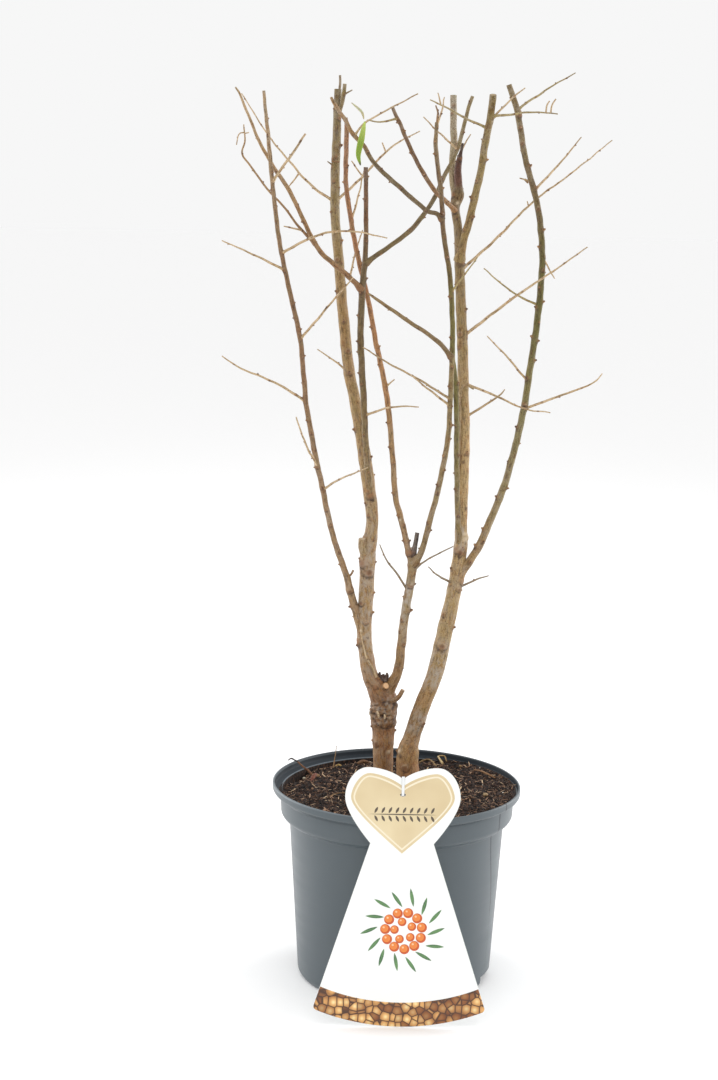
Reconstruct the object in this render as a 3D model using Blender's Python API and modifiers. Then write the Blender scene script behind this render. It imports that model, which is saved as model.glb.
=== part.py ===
# Young sea buckthorn shrub, bare and pruned, in a round plastic nursery pot
# with potting soil and a heart-topped plant label that leans on the pot's rim.
# Metres, +Z up. The origin is the middle of the pot's underside, the label faces -Y.
# Routes are written in millimetres: across (+ right), depth (+ back), height.

import math
import random

import bmesh
import bpy
from mathutils import Matrix, Vector, noise

MM = 0.001
GAP = 0.3

# Pot, millimetres
POT_HEIGHT = 177.0
LIP_RADIUS = 109.8
LIP_BOTTOM = 170.6
COLLAR_RADIUS = 104.6
COLLAR_BOTTOM = 150.6
WALL_TOP_RADIUS = 96.2
BASE_RADIUS = 87.2
WALL_THICKNESS = 1.5
FLOOR_THICKNESS = 2.2
POT_SIDES = 40
RECESS_COUNT = 4
RECESS_FIRST_ANGLE = -15.0
RECESS_DEPTH = 12.0
RECESS_WIDTH = 38.0
RECESS_HEIGHT = 10.0
DRAIN_WIDTH = 20.0
DRAIN_HEIGHT = 5.0

# Soil
SOIL_LEVEL = 170.0
SOIL_MOUND = 3.0
SOIL_CRUMB = 1.5
SOIL_RINGS = 10
STEM_BOTTOM = 122.0
HOLE_CLEARANCE = 0.8

# Label
LABEL_THICKNESS = 0.8
LABEL_HEIGHT = 223.0
LABEL_ACROSS = 3.0
LABEL_TOE = -132.7
HEART_HALF_WIDTH = 49.0
HEART_MIDDLE = 197.5
FOOT_RADIUS = 197.0
NOTCH_HEIGHT = 213.0
WAIST = (27.0, 158.0)
CORNER = (74.0, 14.5)
CORNER_ROUND = 3.0
TIE_HOLE = (2.4, 1.4, 199.8)
TIE_WIDTH = 2.4
TIE_THICKNESS = 0.7

# Wood
STEM_SPACING = 17.0
TWIG_SPACING = 22.0
BUD_SPACING = 42.0
BUD_SEED = 20

COLOURS = {
    "nursery_pot": (0.105, 0.135, 0.165, 0.42),
    "potting_soil": (0.045, 0.028, 0.018, 0.95),
    "left_stems": (0.26, 0.17, 0.09, 0.75),
    "right_stems": (0.25, 0.18, 0.09, 0.75),
    "green_leaf": (0.25, 0.42, 0.08, 0.6),
    "silvery_leaf": (0.45, 0.47, 0.38, 0.6),
    "plant_label": (0.85, 0.84, 0.80, 0.35),
    "label_tie": (0.88, 0.88, 0.88, 0.4),
}

# Stems that rise from the soil: across, depth, height, radius
LEFT_LEADER = [
    (-12, 18, STEM_BOTTOM, 9.1), (-12, 18, 169, 9.1), (-13, 18, 197, 9.0),
    (-13, 18, 225, 9.9), (-13, 17, 245, 11.6), (-20.5, 15, 262, 9.0),
    (-26.5, 13, 274, 7.0), (-31, 11, 301, 6.2), (-32, 10, 326, 6.4),
    (-31, 10, 345, 6.5), (-30, 9, 380, 6.6), (-27, 9, 414, 5.3),
    (-30, 10, 441, 5.6), (-36.8, 19, 483, 5.4), (-44, 29, 518, 5.0),
    (-50, 35, 545, 4.9), (-56, 44, 594, 4.7), (-60, 50, 634, 4.4),
    (-64, 55, 674, 4.1), (-65, 59, 713, 3.9), (-64, 62, 753, 3.6),
    (-64, 64, 788, 3.2),
]
RIGHT_LEADER = [
    (10, 0, STEM_BOTTOM, 9.8), (10, 0, 175, 9.9), (9, 0, 203, 9.4),
    (12.6, 1, 220, 7.5), (20.8, 3, 247, 7.2), (32, 5, 278, 7.1),
    (39, 8, 312, 6.9), (44, 9, 335, 6.5), (48, 11, 358, 6.2),
    (52, 13, 390, 5.9), (52, 14, 415, 5.1), (53, 18, 485, 4.8),
    (51, 20, 530, 4.7), (50, 21, 558, 4.7), (46.5, 23, 614, 4.4),
    (43.5, 25, 665, 3.9), (40.5, 26, 686, 3.7), (42, 27, 698, 5.3),
    (42.3, 27, 706, 3.9), (41.9, 27, 720, 3.7), (43, 27, 733, 2.7),
]

# Side stems: name, parent, height on the parent, then the route to the tip
LEFT_STEMS = [
    ("far_left", "leader", 305, 4.0,
     [(-43.5, 6, 345, 3.4), (-50, 2, 369, 2.8), (-62, -4, 405, 2.5),
      (-71, -12, 446, 2.4), (-79, -20, 483, 2.3), (-86, -28, 524, 2.2),
      (-91, -37, 576, 2.1), (-101, -45, 620, 2.0), (-109, -51, 659, 1.9),
      (-114, -56, 696, 1.8), (-118, -60, 734, 1.7), (-123, -64, 783, 1.3)]),
    ("top_shoot", "leader", 762, 1.8, [(-59, 58, 780, 1.8), (-58, 56, 792, 1.7)]),
    ("second", "leader", 436, 3.1,
     [(-32, 3, 464, 2.8), (-34, -2, 486, 2.7), (-37, -10, 530, 2.8),
      (-40, -18, 580, 2.8), (-39, -22, 619, 2.8), (-37, -25, 659, 2.1),
      (-38, -29, 722, 1.9)]),
    ("second_left", "second", 619, 2.3,
     [(-53, -30, 632, 2.2), (-65, -35, 642, 2.1), (-77, -39, 654, 2.0),
      (-92, -42, 682, 1.8), (-102, -44, 702, 1.8), (-117, -46, 724, 1.6),
      (-129, -48, 746, 1.3), (-142, -50, 777, 1.0), (-147, -50, 786, 0.7)]),
    ("hooked", "second_left", 658, 1.6,
     [(-93, -36, 671, 1.1), (-106, -29, 687, 0.95), (-119, -22, 700, 0.9),
      (-136, -14, 721, 0.85), (-143, -12, 731, 0.8), (-141, -10, 742, 0.7),
      (-142, -10, 756, 0.5)]),
    ("second_right", "second", 641, 2.1,
     [(-25, -20, 650, 2.1), (-12, -15, 659, 2.0), (2, -7, 670, 2.1),
      (14, 2, 685, 2.0), (22, 6, 698, 1.9), (29, 10, 714, 1.9),
      (36, 13, 728, 1.8), (42, 14, 744, 1.8), (49, 14, 773, 1.6),
      (52, 14, 783, 1.5)]),
    ("middle", "leader", 250, 5.4,
     [(-2, 12, 275, 4.3), (1, 8, 299, 4.0), (3, 4, 324, 3.8), (6, 0, 348, 3.8),
      (9, -2, 371, 3.9), (10, -3, 383, 3.9)]),
    ("dead_stub", "middle", 376, 2.6, [(11, -1, 391, 2.1), (13, 1, 405, 1.9)]),
    ("reddish", "middle", 374, 2.6,
     [(3, 2, 399, 2.6), (-2, 3, 418, 2.6), (-7, 3, 439, 2.5), (-11, 2, 482, 2.4),
      (-15, -1, 517, 2.4), (-20, -4, 544, 2.3), (-27, -7, 574, 2.2),
      (-34, -9, 609, 2.1), (-44, -8, 648, 2.1), (-50, -2, 677, 2.1),
      (-55, 6, 710, 2.0), (-55, 12, 750, 2.1), (-56, 13, 763, 1.5)]),
    ("front", "middle", 378, 3.0,
     [(17, -6, 390, 2.6), (23.6, -11, 419, 2.5), (29.6, -18, 446, 2.4),
      (36.6, -28, 491, 2.3), (37.6, -34, 522, 2.2), (38, -39, 549, 2.2),
      (38, -41, 566, 2.1)]),
    ("front_left", "front", 564, 2.0,
     [(28, -42, 575.5, 2.0), (19, -41, 582.5, 1.8), (2, -37, 593, 1.7),
      (-23, -29, 609, 1.4), (-34, -27, 616, 0.8)]),
]
RIGHT_STEMS = [
    ("upright_top", "leader", 692, 2.9,
     [(37, 34, 720, 3.0), (38, 40, 742, 3.0), (37, 46, 784, 2.9)]),
    ("fork_right", "leader", 642, 3.5,
     [(48, 20, 661, 3.4), (52, 16, 677, 3.3), (56, 11, 697, 3.2),
      (60.6, 5, 721, 3.1), (63.8, -2, 747, 3.1), (67, -9, 767, 3.0),
      (68, -14, 784, 2.9)]),
    ("olive", "leader", 388, 2.9,
     [(48, 2, 423, 2.4), (46, -6, 463, 2.3), (45, -10, 489, 2.3),
      (43, -18, 534, 2.2), (39.3, -23, 562, 2.2), (38.3, -28, 589, 2.2),
      (36.3, -35, 618, 2.2), (33.3, -40, 641, 2.1), (28.3, -45, 667, 2.1),
      (25.3, -50, 699, 2.0), (22.3, -54, 720, 1.9), (19.3, -57, 741, 1.8),
      (20, -59, 760, 1.6)]),
    ("diagonal", "olive", 680, 1.9,
     [(22, -50.5, 685, 1.9), (15, -52.5, 687, 1.9), (7, -54, 692.5, 1.9),
      (-18, -56, 713.5, 1.9), (-32, -56, 727, 1.8), (-40, -55, 740, 1.8),
      (-50, -54, 750, 1.8), (-56, -52, 761, 1.7), (-62, -50, 769, 1.6),
      (-68, -48, 779, 1.2)]),
    ("forward_left", "leader", 685, 2.2,
     [(31, 9, 694, 2.0), (22, -6, 702, 1.9), (12, -9, 716, 1.9),
      (2, -11, 733, 1.8), (-7, -13, 752, 1.7), (-17, -16, 773, 1.5)]),
    ("arc", "leader", 362, 3.8,
     [(63, 10, 383, 3.4), (68.8, 11, 394, 3.3), (77.8, 12, 416, 3.2),
      (88.8, 14, 445, 3.1), (97, 17, 477, 3.0), (104.5, 20, 513, 3.0),
      (109.8, 24, 552, 2.9), (115.6, 30, 599, 2.9), (118, 35, 635, 2.8),
      (117, 38, 661, 2.7), (112.4, 40, 691, 2.7), (101, 41, 730, 2.6),
      (93, 40, 769, 2.7), (84.5, 39, 794, 2.4)]),
]

# Thin twigs and thorns: parent, height on the parent, base radius, route to the tip
LEFT_TWIGS = [
    ("leader", 250, 2.3, [(-3, 3, 253), (3.5, 1, 262.5)], 2.0),
    ("leader", 250, 3.8, [(-14, 13, 274.5)], 3.3),
    ("leader", 376, 4.0, [(-34.5, 4, 390), (-35, 3, 398.5)], 3.4),
    ("leader", 541, 1.1, [(-62, 38, 551), (-78, 42, 561)], 0.5),
    ("leader", 690, 1.3, [(-86, 61, 704), (-106, 66, 725), (-124, 70, 746), (-149, 74, 783)], 0.5),
    ("leader", 690, 1.3, [(-41, 62, 712), (-21, 66, 734), (-6, 69, 745), (9, 71, 753)], 0.5),
    ("leader", 720, 1.0, [(-72, 56, 725)], 0.5),
    ("leader", 778, 1.2, [(-62, 70, 792), (-62, 71, 800)], 1.1),
    ("top_shoot", 783, 0.9, [(-51, 54, 787)], 0.5),
    ("far_left", 636, 1.2, [(-128, -52, 647), (-157, -56, 660)], 0.5),
    ("far_left", 650, 1.2, [(-77, -58, 666), (-49, -64, 670), (-19, -68, 665)], 0.5),
    ("far_left", 577, 1.2, [(-62, -49, 613), (-47, -54, 631)], 0.5),
    ("far_left", 523, 1.2, [(-113, -30, 539), (-142, -31, 551), (-158, -32, 561)], 0.5),
    ("far_left", 444, 1.1, [(-55, -20, 455), (-32, -32, 467)], 0.5),
    ("far_left", 465, 1.1, [(-86, -40, 489), (-93, -60, 513)], 0.6),
    ("far_left", 709, 1.3, [(-98, -66, 734), (-88, -70, 749)], 0.9),
    ("second", 509, 1.1, [(-12, -18, 518), (11, -26, 520)], 0.5),
    ("second_left", 629, 1.0, [(-46, 1, 649), (-40, 6, 668)], 0.5),
    ("hooked", 669, 0.9, [(-106, -40, 672)], 0.5),
    ("reddish", 533, 1.0, [(-10, -8, 541)], 0.5),
    ("reddish", 676, 1.0, [(-44, 5, 697), (-40, 10, 718)], 0.5),
    ("middle", 352, 1.1, [(-7, -8, 373), (-15, -13, 385), (-20, -16, 397)], 0.5),
    ("middle", 370, 1.1, [(21, -12, 383), (44, -24, 398)], 0.5),
    ("front", 522, 1.1, [(18, -42, 537), (3, -50, 550)], 0.5),
    ("front", 528, 1.1, [(11, -46, 545), (-23, -48, 563), (-38, -46, 572)], 0.5),
    ("second_right", 738, 1.0, [(22, 2, 753), (10, -4, 765)], 0.5),
]
RIGHT_TWIGS = [
    ("leader", 357, 1.2, [(33, -2, 367), (23, -12, 377)], 0.5),
    ("leader", 353, 1.2, [(67, 16, 361), (78, 20, 364)], 0.5),
    ("leader", 633, 1.4, [(78, 38, 662), (109, 52, 693), (145, 62, 720), (179, 70, 748)], 0.5),
    ("leader", 576, 1.4, [(93, 16, 612), (122, 11, 633), (154, 5, 657)], 0.5),
    ("leader", 536, 1.2, [(80, 12, 526), (103, 8, 516), (127, 3, 513)], 0.5),
    ("leader", 505, 1.2, [(81, 26, 523), (88, 28, 530)], 0.5),
    ("leader", 731, 0.9, [(46.6, 27, 741.5), (52, 27, 751)], 0.5),
    ("leader", 730, 1.5, [(45.2, 26, 743.5)], 1.1),
    ("olive", 619, 1.1, [(45, -42, 632), (57, -50, 650)], 0.5),
    ("olive", 756, 1.0, [(24, -61, 771), (25, -62, 779)], 0.5),
    ("forward_left", 763, 1.0, [(-24, -20, 760), (-38, -24, 761)], 0.5),
    ("diagonal", 748, 1.0, [(-39, -56, 759), (-18, -59, 771), (4, -62, 783)], 0.5),
    ("fork_right", 756, 1.2, [(46, -10, 764), (28, -16, 773), (15, -20, 779)], 0.5),
    ("fork_right", 766, 1.2, [(84, -16, 768), (101, -24, 770), (122, -30, 769)], 0.5),
    ("fork_right", 762, 1.0, [(84, -12, 781), (95, -18, 790)], 0.5),
    ("arc", 770, 1.4, [(96, 41, 775.3), (112, 42.5, 786), (124.7, 44, 794.4), (142.6, 46, 804.7)], 0.5),
    ("arc", 703, 1.2, [(132, 46, 728), (150, 50, 750)], 0.5),
    ("arc", 711, 1.0, [(96, 37, 714)], 0.5),
    ("arc", 604, 1.1, [(93, 34, 615), (67, 38, 635)], 0.5),
    ("arc", 538, 1.1, [(88, 25, 560), (71, 26, 577)], 0.5),
    ("arc", 514, 1.2, [(129, 20, 523.5), (152, 22, 532), (167, 25, 538.4), (173.5, 27, 546)], 0.5),
    ("arc", 646, 1.0, [(129, 32, 628)], 0.5),
]
GREEN_LEAF = [(-39.6, -57.8, 756.4), (-42.4, -60, 746), (-44.6, -61.5, 733), (-42.6, -62.5, 724)]
SILVERY_LEAF = [(-40.4, -57.4, 761.6), (-42.6, -58, 767.5), (-51, -59.5, 774.8)]


# Scene and materials
def clear_scene():
    for obj in list(bpy.data.objects):
        bpy.data.objects.remove(obj, do_unlink=True)


def new_collection(name):
    collection = bpy.data.collections.new(name)
    bpy.context.scene.collection.children.link(collection)
    return collection


def give_material(obj, name):
    red, green, blue, roughness = COLOURS[name]
    material = bpy.data.materials.new(name)
    material.use_nodes = True
    shader = material.node_tree.nodes["Principled BSDF"]
    shader.inputs["Base Color"].default_value = (red, green, blue, 1.0)
    shader.inputs["Roughness"].default_value = roughness
    shader.inputs["Metallic"].default_value = 0.0
    obj.data.materials.clear()
    obj.data.materials.append(material)


# Mesh helpers
def mesh_object(name, collection, mesh_data):
    mesh = bpy.data.meshes.new(name)
    mesh_data.to_mesh(mesh)
    mesh_data.free()
    obj = bpy.data.objects.new(name, mesh)
    collection.objects.link(obj)
    return obj


def curve_to_mesh(curve_object, collection):
    bpy.context.view_layer.update()
    evaluated = curve_object.evaluated_get(bpy.context.evaluated_depsgraph_get())
    mesh = bpy.data.meshes.new_from_object(evaluated)
    welded = bmesh.new()
    welded.from_mesh(mesh)
    bmesh.ops.remove_doubles(welded, verts=welded.verts, dist=0.000005)
    bmesh.ops.recalc_face_normals(welded, faces=welded.faces)
    welded.to_mesh(mesh)
    welded.free()
    name = curve_object.name
    obj = bpy.data.objects.new(name + "_mesh", mesh)
    obj.matrix_world = curve_object.matrix_world.copy()
    collection.objects.link(obj)
    bpy.data.objects.remove(curve_object, do_unlink=True)
    obj.name = name
    return obj


def apply_modifiers(obj):
    bpy.context.view_layer.update()
    evaluated = obj.evaluated_get(bpy.context.evaluated_depsgraph_get())
    mesh = bpy.data.meshes.new_from_object(evaluated)
    obj.modifiers.clear()
    obj.data = mesh


def join_all(body, pieces):
    union = body.modifiers.new("join", "BOOLEAN")
    union.operation = "UNION"
    union.operand_type = "COLLECTION"
    union.collection = pieces
    union.solver = "EXACT"
    apply_modifiers(body)
    for piece in list(pieces.objects):
        bpy.data.objects.remove(piece, do_unlink=True)
    bpy.data.collections.remove(pieces)


def cut_all(body, cutters):
    cut = body.modifiers.new("cut", "BOOLEAN")
    cut.operation = "DIFFERENCE"
    cut.operand_type = "COLLECTION"
    cut.collection = cutters
    cut.solver = "EXACT"
    apply_modifiers(body)
    for cutter in list(cutters.objects):
        bpy.data.objects.remove(cutter, do_unlink=True)
    bpy.data.collections.remove(cutters)


# Routes: each point is a Vector of across, depth, height and radius
def smooth_route(points, spacing):
    knots = [Vector(point) for point in points]
    knots.insert(0, knots[0] * 2 - knots[1])
    knots.append(knots[-1] * 2 - knots[-2])
    route = [knots[1]]
    for index in range(1, len(knots) - 2):
        before, start, end, after = knots[index - 1:index + 3]
        steps = max(1, round((end - start).length / spacing))
        for step in range(1, steps + 1):
            t = step / steps
            route.append(0.5 * (2 * start + (end - before) * t
                                + (2 * before - 5 * start + 4 * end - after) * t ** 2
                                + (3 * start - before - 3 * end + after) * t ** 3))
    return route


def point_at_height(route, height):
    for low, high in zip(route, route[1:]):
        if low.z <= height <= high.z:
            return low.lerp(high, (height - low.z) / (high.z - low.z))
    raise ValueError(f"no point at height {height}")


def tube(name, route, sides, collection):
    curve = bpy.data.curves.new(name, "CURVE")
    curve.dimensions = "3D"
    curve.bevel_depth = MM
    curve.bevel_resolution = (sides - 4) // 2
    curve.use_fill_caps = True
    spline = curve.splines.new("POLY")
    spline.points.add(len(route) - 1)
    for point, place in zip(spline.points, route):
        point.co = (place.x * MM, place.y * MM, place.z * MM, 1.0)
        point.radius = place.w
    obj = bpy.data.objects.new(name, curve)
    collection.objects.link(obj)
    return curve_to_mesh(obj, collection)


def bud(name, place, direction, size, collection):
    cone = bmesh.new()
    bmesh.ops.create_cone(cone, cap_ends=True, segments=4, radius1=0.75 * size * MM,
                          radius2=0.25 * size * MM, depth=1.6 * size * MM)
    turn = direction.to_track_quat("Z", "Y").to_matrix().to_4x4()
    shift = Matrix.Translation((place + direction * 0.55 * size) * MM)
    bmesh.ops.transform(cone, matrix=shift @ turn, verts=cone.verts)
    return mesh_object(name, collection, cone)


def add_buds(name, route, first, draws, collection):
    travelled = first
    angle = draws.uniform(0, 360)
    count = 0
    for low, high in zip(route, route[1:]):
        run = high.to_3d() - low.to_3d()
        travelled += run.length
        if travelled < BUD_SPACING:
            continue
        travelled = draws.uniform(-8, 8)
        angle += 137.5
        place = low.lerp(high, draws.uniform(0.2, 0.8))
        along = run.normalized()
        sideways = along.orthogonal().normalized()
        sideways.rotate(Matrix.Rotation(math.radians(angle), 3, along))
        outward = (sideways * 0.85 + along * 0.65).normalized()
        size = min(2.6, 0.9 + place.w * 0.5)
        seat = place.to_3d() + sideways * (place.w - 0.35 * size)
        bud(f"{name}_bud_{count}", seat, outward, size, collection)
        count += 1


# One clump of stems: leader, side stems, twigs and buds grown together
def grow(node, leader, stems, twigs, parts, seed):
    draws = random.Random(seed)
    pieces = new_collection(node + "_pieces")
    routes = {"leader": smooth_route(leader, STEM_SPACING)}
    body = tube(node, routes["leader"], 8, parts)
    for name, parent, height, radius, points in stems:
        root = point_at_height(routes[parent], height)
        root.w = radius
        routes[name] = smooth_route([root] + points, STEM_SPACING)
        sides = 8 if radius > 5 else 6
        tube(f"{node}_{name}", routes[name], sides, pieces)
    for index, (parent, height, radius, points, tip_radius) in enumerate(twigs):
        root = point_at_height(routes[parent], height)
        root.w = radius
        steps = len(points)
        tapered = [(*point, radius + (tip_radius - radius) * (step + 1) / steps)
                   for step, point in enumerate(points)]
        route = smooth_route([root] + tapered, TWIG_SPACING)
        tube(f"{node}_twig_{index}", route, 6 if radius > 2 else 4, pieces)
    for name, route in routes.items():
        above_soil = [place for place in route if place.z > SOIL_LEVEL + 15]
        add_buds(f"{node}_{name}", above_soil, draws.uniform(0, 20), draws, pieces)
    join_all(body, pieces)
    give_material(body, node)
    return body


# Pot
def turned(name, profile, sides, collection):
    mesh = bpy.data.meshes.new(name)
    points = [(radius * MM, 0.0, height * MM) for radius, height in profile]
    edges = [(index, index + 1) for index in range(len(points) - 1)]
    mesh.from_pydata(points, edges, [])
    obj = bpy.data.objects.new(name, mesh)
    collection.objects.link(obj)
    screw = obj.modifiers.new("turn", "SCREW")
    screw.steps = sides
    screw.render_steps = sides
    screw.use_merge_vertices = True
    screw.merge_threshold = 0.00001
    apply_modifiers(obj)
    return obj


def box(name, spans, angle, collection):
    cube = bmesh.new()
    bmesh.ops.create_cube(cube, size=1.0)
    bmesh.ops.scale(cube, vec=[(high - low) * MM for low, high in spans], verts=cube.verts)
    middle = [(low + high) / 2 * MM for low, high in spans]
    matrix = Matrix.Rotation(math.radians(angle), 4, "Z") @ Matrix.Translation(middle)
    bmesh.ops.transform(cube, matrix=matrix, verts=cube.verts)
    return mesh_object(name, collection, cube)


# Drain recesses at the base's corner: a pocket of plastic, hollowed, with a slot in its back
def recess_boxes(name, spans, collection):
    for index in range(RECESS_COUNT):
        angle = RECESS_FIRST_ANGLE + index * 360 / RECESS_COUNT
        box(f"{name}_{index}", spans, angle, collection)
    return collection


def trim_to_wall(pieces):
    profile = [(0, -1), (BASE_RADIUS - 3.8, -1), (BASE_RADIUS - 0.9, 4.6), (BASE_RADIUS + 0.2, 20), (0, 20)]
    core = turned("core", profile, POT_SIDES, new_collection("cores"))
    for piece in pieces.objects:
        trim = piece.modifiers.new("trim", "BOOLEAN")
        trim.operation = "INTERSECT"
        trim.object = core
        trim.solver = "EXACT"
        apply_modifiers(piece)
    bpy.data.objects.remove(core, do_unlink=True)
    return pieces


def add_recesses(pot):
    back = BASE_RADIUS - RECESS_DEPTH
    half = RECESS_WIDTH / 2
    wall = WALL_THICKNESS
    pocket = [(back - wall, BASE_RADIUS + 3), (-half - wall, half + wall), (0.5, RECESS_HEIGHT + wall)]
    hollow = [(back, BASE_RADIUS + 5), (-half, half), (-5, RECESS_HEIGHT)]
    middle = RECESS_HEIGHT * 0.55
    slot = [(back - wall - 1, back + 1), (-DRAIN_WIDTH / 2, DRAIN_WIDTH / 2),
            (middle - DRAIN_HEIGHT / 2, middle + DRAIN_HEIGHT / 2)]
    join_all(pot, trim_to_wall(recess_boxes("pocket", pocket, new_collection("pockets"))))
    cut_all(pot, recess_boxes("hollow", hollow, new_collection("hollows")))
    cut_all(pot, recess_boxes("slot", slot, new_collection("slots")))


def make_pot(parts):
    inner_base = BASE_RADIUS - WALL_THICKNESS - 0.8
    inner_wall = WALL_TOP_RADIUS - WALL_THICKNESS
    inner_collar = COLLAR_RADIUS - WALL_THICKNESS
    inside = [
        (0, FLOOR_THICKNESS), (inner_base - 0.5, FLOOR_THICKNESS), (inner_base + 0.6, 4.8),
        (inner_wall, COLLAR_BOTTOM - 5.4), (inner_wall + 1.1, COLLAR_BOTTOM - 2.7),
        (inner_collar - 1.4, COLLAR_BOTTOM - 0.2), (inner_collar - 0.7, COLLAR_BOTTOM + 1.0),
        (inner_collar, LIP_BOTTOM + 0.9), (LIP_RADIUS - 2.1, LIP_BOTTOM + 1.4),
        (LIP_RADIUS - 1.8, POT_HEIGHT - 0.5),
    ]
    outside = [
        (LIP_RADIUS - 1.2, POT_HEIGHT), (LIP_RADIUS, POT_HEIGHT - 1.0),
        (LIP_RADIUS - 0.1, LIP_BOTTOM + 0.4), (LIP_RADIUS - 0.8, LIP_BOTTOM - 0.2),
        (COLLAR_RADIUS, LIP_BOTTOM - 0.6), (COLLAR_RADIUS - 0.7, COLLAR_BOTTOM),
        (COLLAR_RADIUS - 2.0, COLLAR_BOTTOM - 1.8), (WALL_TOP_RADIUS + 1.2, COLLAR_BOTTOM - 4.0),
        (WALL_TOP_RADIUS, COLLAR_BOTTOM - 5.8), (BASE_RADIUS, 4.5),
        (BASE_RADIUS - 2.8, 0), (0, 0),
    ]
    pot = turned("nursery_pot", inside + outside, POT_SIDES, parts)
    add_recesses(pot)
    give_material(pot, "nursery_pot")
    return pot


# Soil: a turned filling whose top is raised in crumbs
def soil_height(across, depth, radius, edge):
    lift = SOIL_MOUND * math.exp(-(radius / 45.0) ** 2)
    rough = noise.noise(Vector((across / 17.0, depth / 17.0, 3.1)))
    fine = noise.noise(Vector((across / 7.0, depth / 7.0, 8.4)))
    calm = 1.0 - 0.6 * (radius / edge) ** 6
    return SOIL_LEVEL + lift + calm * SOIL_CRUMB * (rough + 0.8 * fine)


def make_soil(parts):
    collar = COLLAR_RADIUS - WALL_THICKNESS - 0.6
    wall = WALL_TOP_RADIUS - WALL_THICKNESS - 0.7
    base = BASE_RADIUS - WALL_THICKNESS - 1.5
    rings = [(collar * (index + 1) / SOIL_RINGS, SOIL_LEVEL) for index in range(SOIL_RINGS)]
    below = [(collar - 0.8, COLLAR_BOTTOM + 1.8), (collar - 7.0, COLLAR_BOTTOM - 1.4),
             (wall - 0.3, COLLAR_BOTTOM - 4.8), (base, 5.4),
             (base - 1.6, FLOOR_THICKNESS + GAP), (0, FLOOR_THICKNESS + GAP)]
    soil = turned("potting_soil", [(0, SOIL_LEVEL)] + rings + below, POT_SIDES, parts)
    for vertex in soil.data.vertices:
        across, depth, height = (value / MM for value in vertex.co)
        radius = math.hypot(across, depth)
        if height > SOIL_LEVEL - 1.0:
            vertex.co.z = soil_height(across, depth, radius, collar) * MM
    holes = new_collection("stem_holes")
    for name, leader in (("left_hole", LEFT_LEADER), ("right_hole", RIGHT_LEADER)):
        across, depth, height, radius = leader[0]
        wide = max(radius, leader[1][3]) + HOLE_CLEARANCE
        low = Vector((across, depth, height - GAP, wide))
        tube(name, [low, Vector((across, depth, SOIL_LEVEL + 30, wide))], 12, holes)
    clear = WALL_THICKNESS + GAP
    back = BASE_RADIUS - RECESS_DEPTH - clear
    half = RECESS_WIDTH / 2 + clear
    recess_boxes("clearance", [(back, BASE_RADIUS), (-half, half), (-5, RECESS_HEIGHT + clear)], holes)
    cut_all(soil, holes)
    give_material(soil, "potting_soil")
    return soil


# Label: a die-cut card, drawn flat in its own plane and leaned on the lip
def add_spline(curve, points):
    spline = curve.splines.new("BEZIER")
    spline.bezier_points.add(len(points) - 1)
    for knot, (place, left, right) in zip(spline.bezier_points, points):
        knot.handle_left_type = "FREE"
        knot.handle_right_type = "FREE"
        knot.co = (place[0] * MM, place[1] * MM, 0)
        knot.handle_left = ((place[0] + left[0]) * MM, (place[1] + left[1]) * MM, 0)
        knot.handle_right = ((place[0] + right[0]) * MM, (place[1] + right[1]) * MM, 0)
    spline.use_cyclic_u = True


def flat_sheet(name, outlines, thickness, resolution, collection):
    curve = bpy.data.curves.new(name, "CURVE")
    curve.dimensions = "2D"
    curve.fill_mode = "BOTH"
    curve.extrude = thickness / 2 * MM
    curve.resolution_u = resolution
    for outline in outlines:
        add_spline(curve, outline)
    obj = bpy.data.objects.new(name, curve)
    collection.objects.link(obj)
    return obj


def mirrored(half):
    other = [((-place[0], place[1]), (-right[0], right[1]), (-left[0], left[1]))
             for place, left, right in reversed(half)]
    return other


def oval(half_wide, half_high, middle_high):
    bend = 0.5523
    return [
        ((half_wide, middle_high), (0, -bend * half_high), (0, bend * half_high)),
        ((0, middle_high + half_high), (bend * half_wide, 0), (-bend * half_wide, 0)),
        ((-half_wide, middle_high), (0, bend * half_high), (0, -bend * half_high)),
        ((0, middle_high - half_high), (-bend * half_wide, 0), (bend * half_wide, 0)),
    ]


def label_outline():
    corner_x, corner_y = CORNER
    arc_run = Vector((corner_x, corner_y - FOOT_RADIUS))
    bottom_pull = arc_run.length * math.asin(corner_x / arc_run.length) / 3 * 1.02
    side = (Vector(WAIST) - Vector(CORNER)).normalized() * CORNER_ROUND
    along = Vector((-arc_run.y, arc_run.x)).normalized() * -CORNER_ROUND
    half = [
        ((corner_x + along.x, corner_y + along.y), (along.x * 7, along.y * 7), (-along.x / 2, -along.y / 2)),
        ((corner_x + side.x, corner_y + side.y), (-side.x / 2, -side.y / 2), (side.x, side.y)),
        (WAIST, (0.5, -1.5), (9.0, 10.5)),
        ((HEART_HALF_WIDTH, HEART_MIDDLE), (0, -11), (0, 12)),
        ((29.5, LABEL_HEIGHT), (11.5, 0), (-9, 0)),
    ]
    notch = [((0, NOTCH_HEIGHT), (7.0, 6.2), (-7.0, 6.2))]
    bottom = [((0, 0), (-bottom_pull, 0), (bottom_pull, 0))]
    return bottom + half + notch + mirrored(half)


def label_frame():
    contact_height = POT_HEIGHT - 1.0
    contact_depth = -(LIP_RADIUS + GAP + 0.1)
    rise = Vector((0, contact_depth - LABEL_TOE, contact_height)).normalized()
    across = Vector((1, 0, 0))
    facing = across.cross(rise)
    middle = Vector((LABEL_ACROSS, LABEL_TOE, GAP)) + facing * LABEL_THICKNESS / 2
    frame = Matrix((across, rise, facing)).transposed().to_4x4()
    frame.translation = middle * MM
    return frame


def make_label(parts):
    hole = oval(*TIE_HOLE)
    label = flat_sheet("plant_label", [label_outline(), hole], LABEL_THICKNESS, 6, parts)
    label.matrix_world = label_frame()
    label = curve_to_mesh(label, parts)
    give_material(label, "plant_label")
    return label


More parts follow.
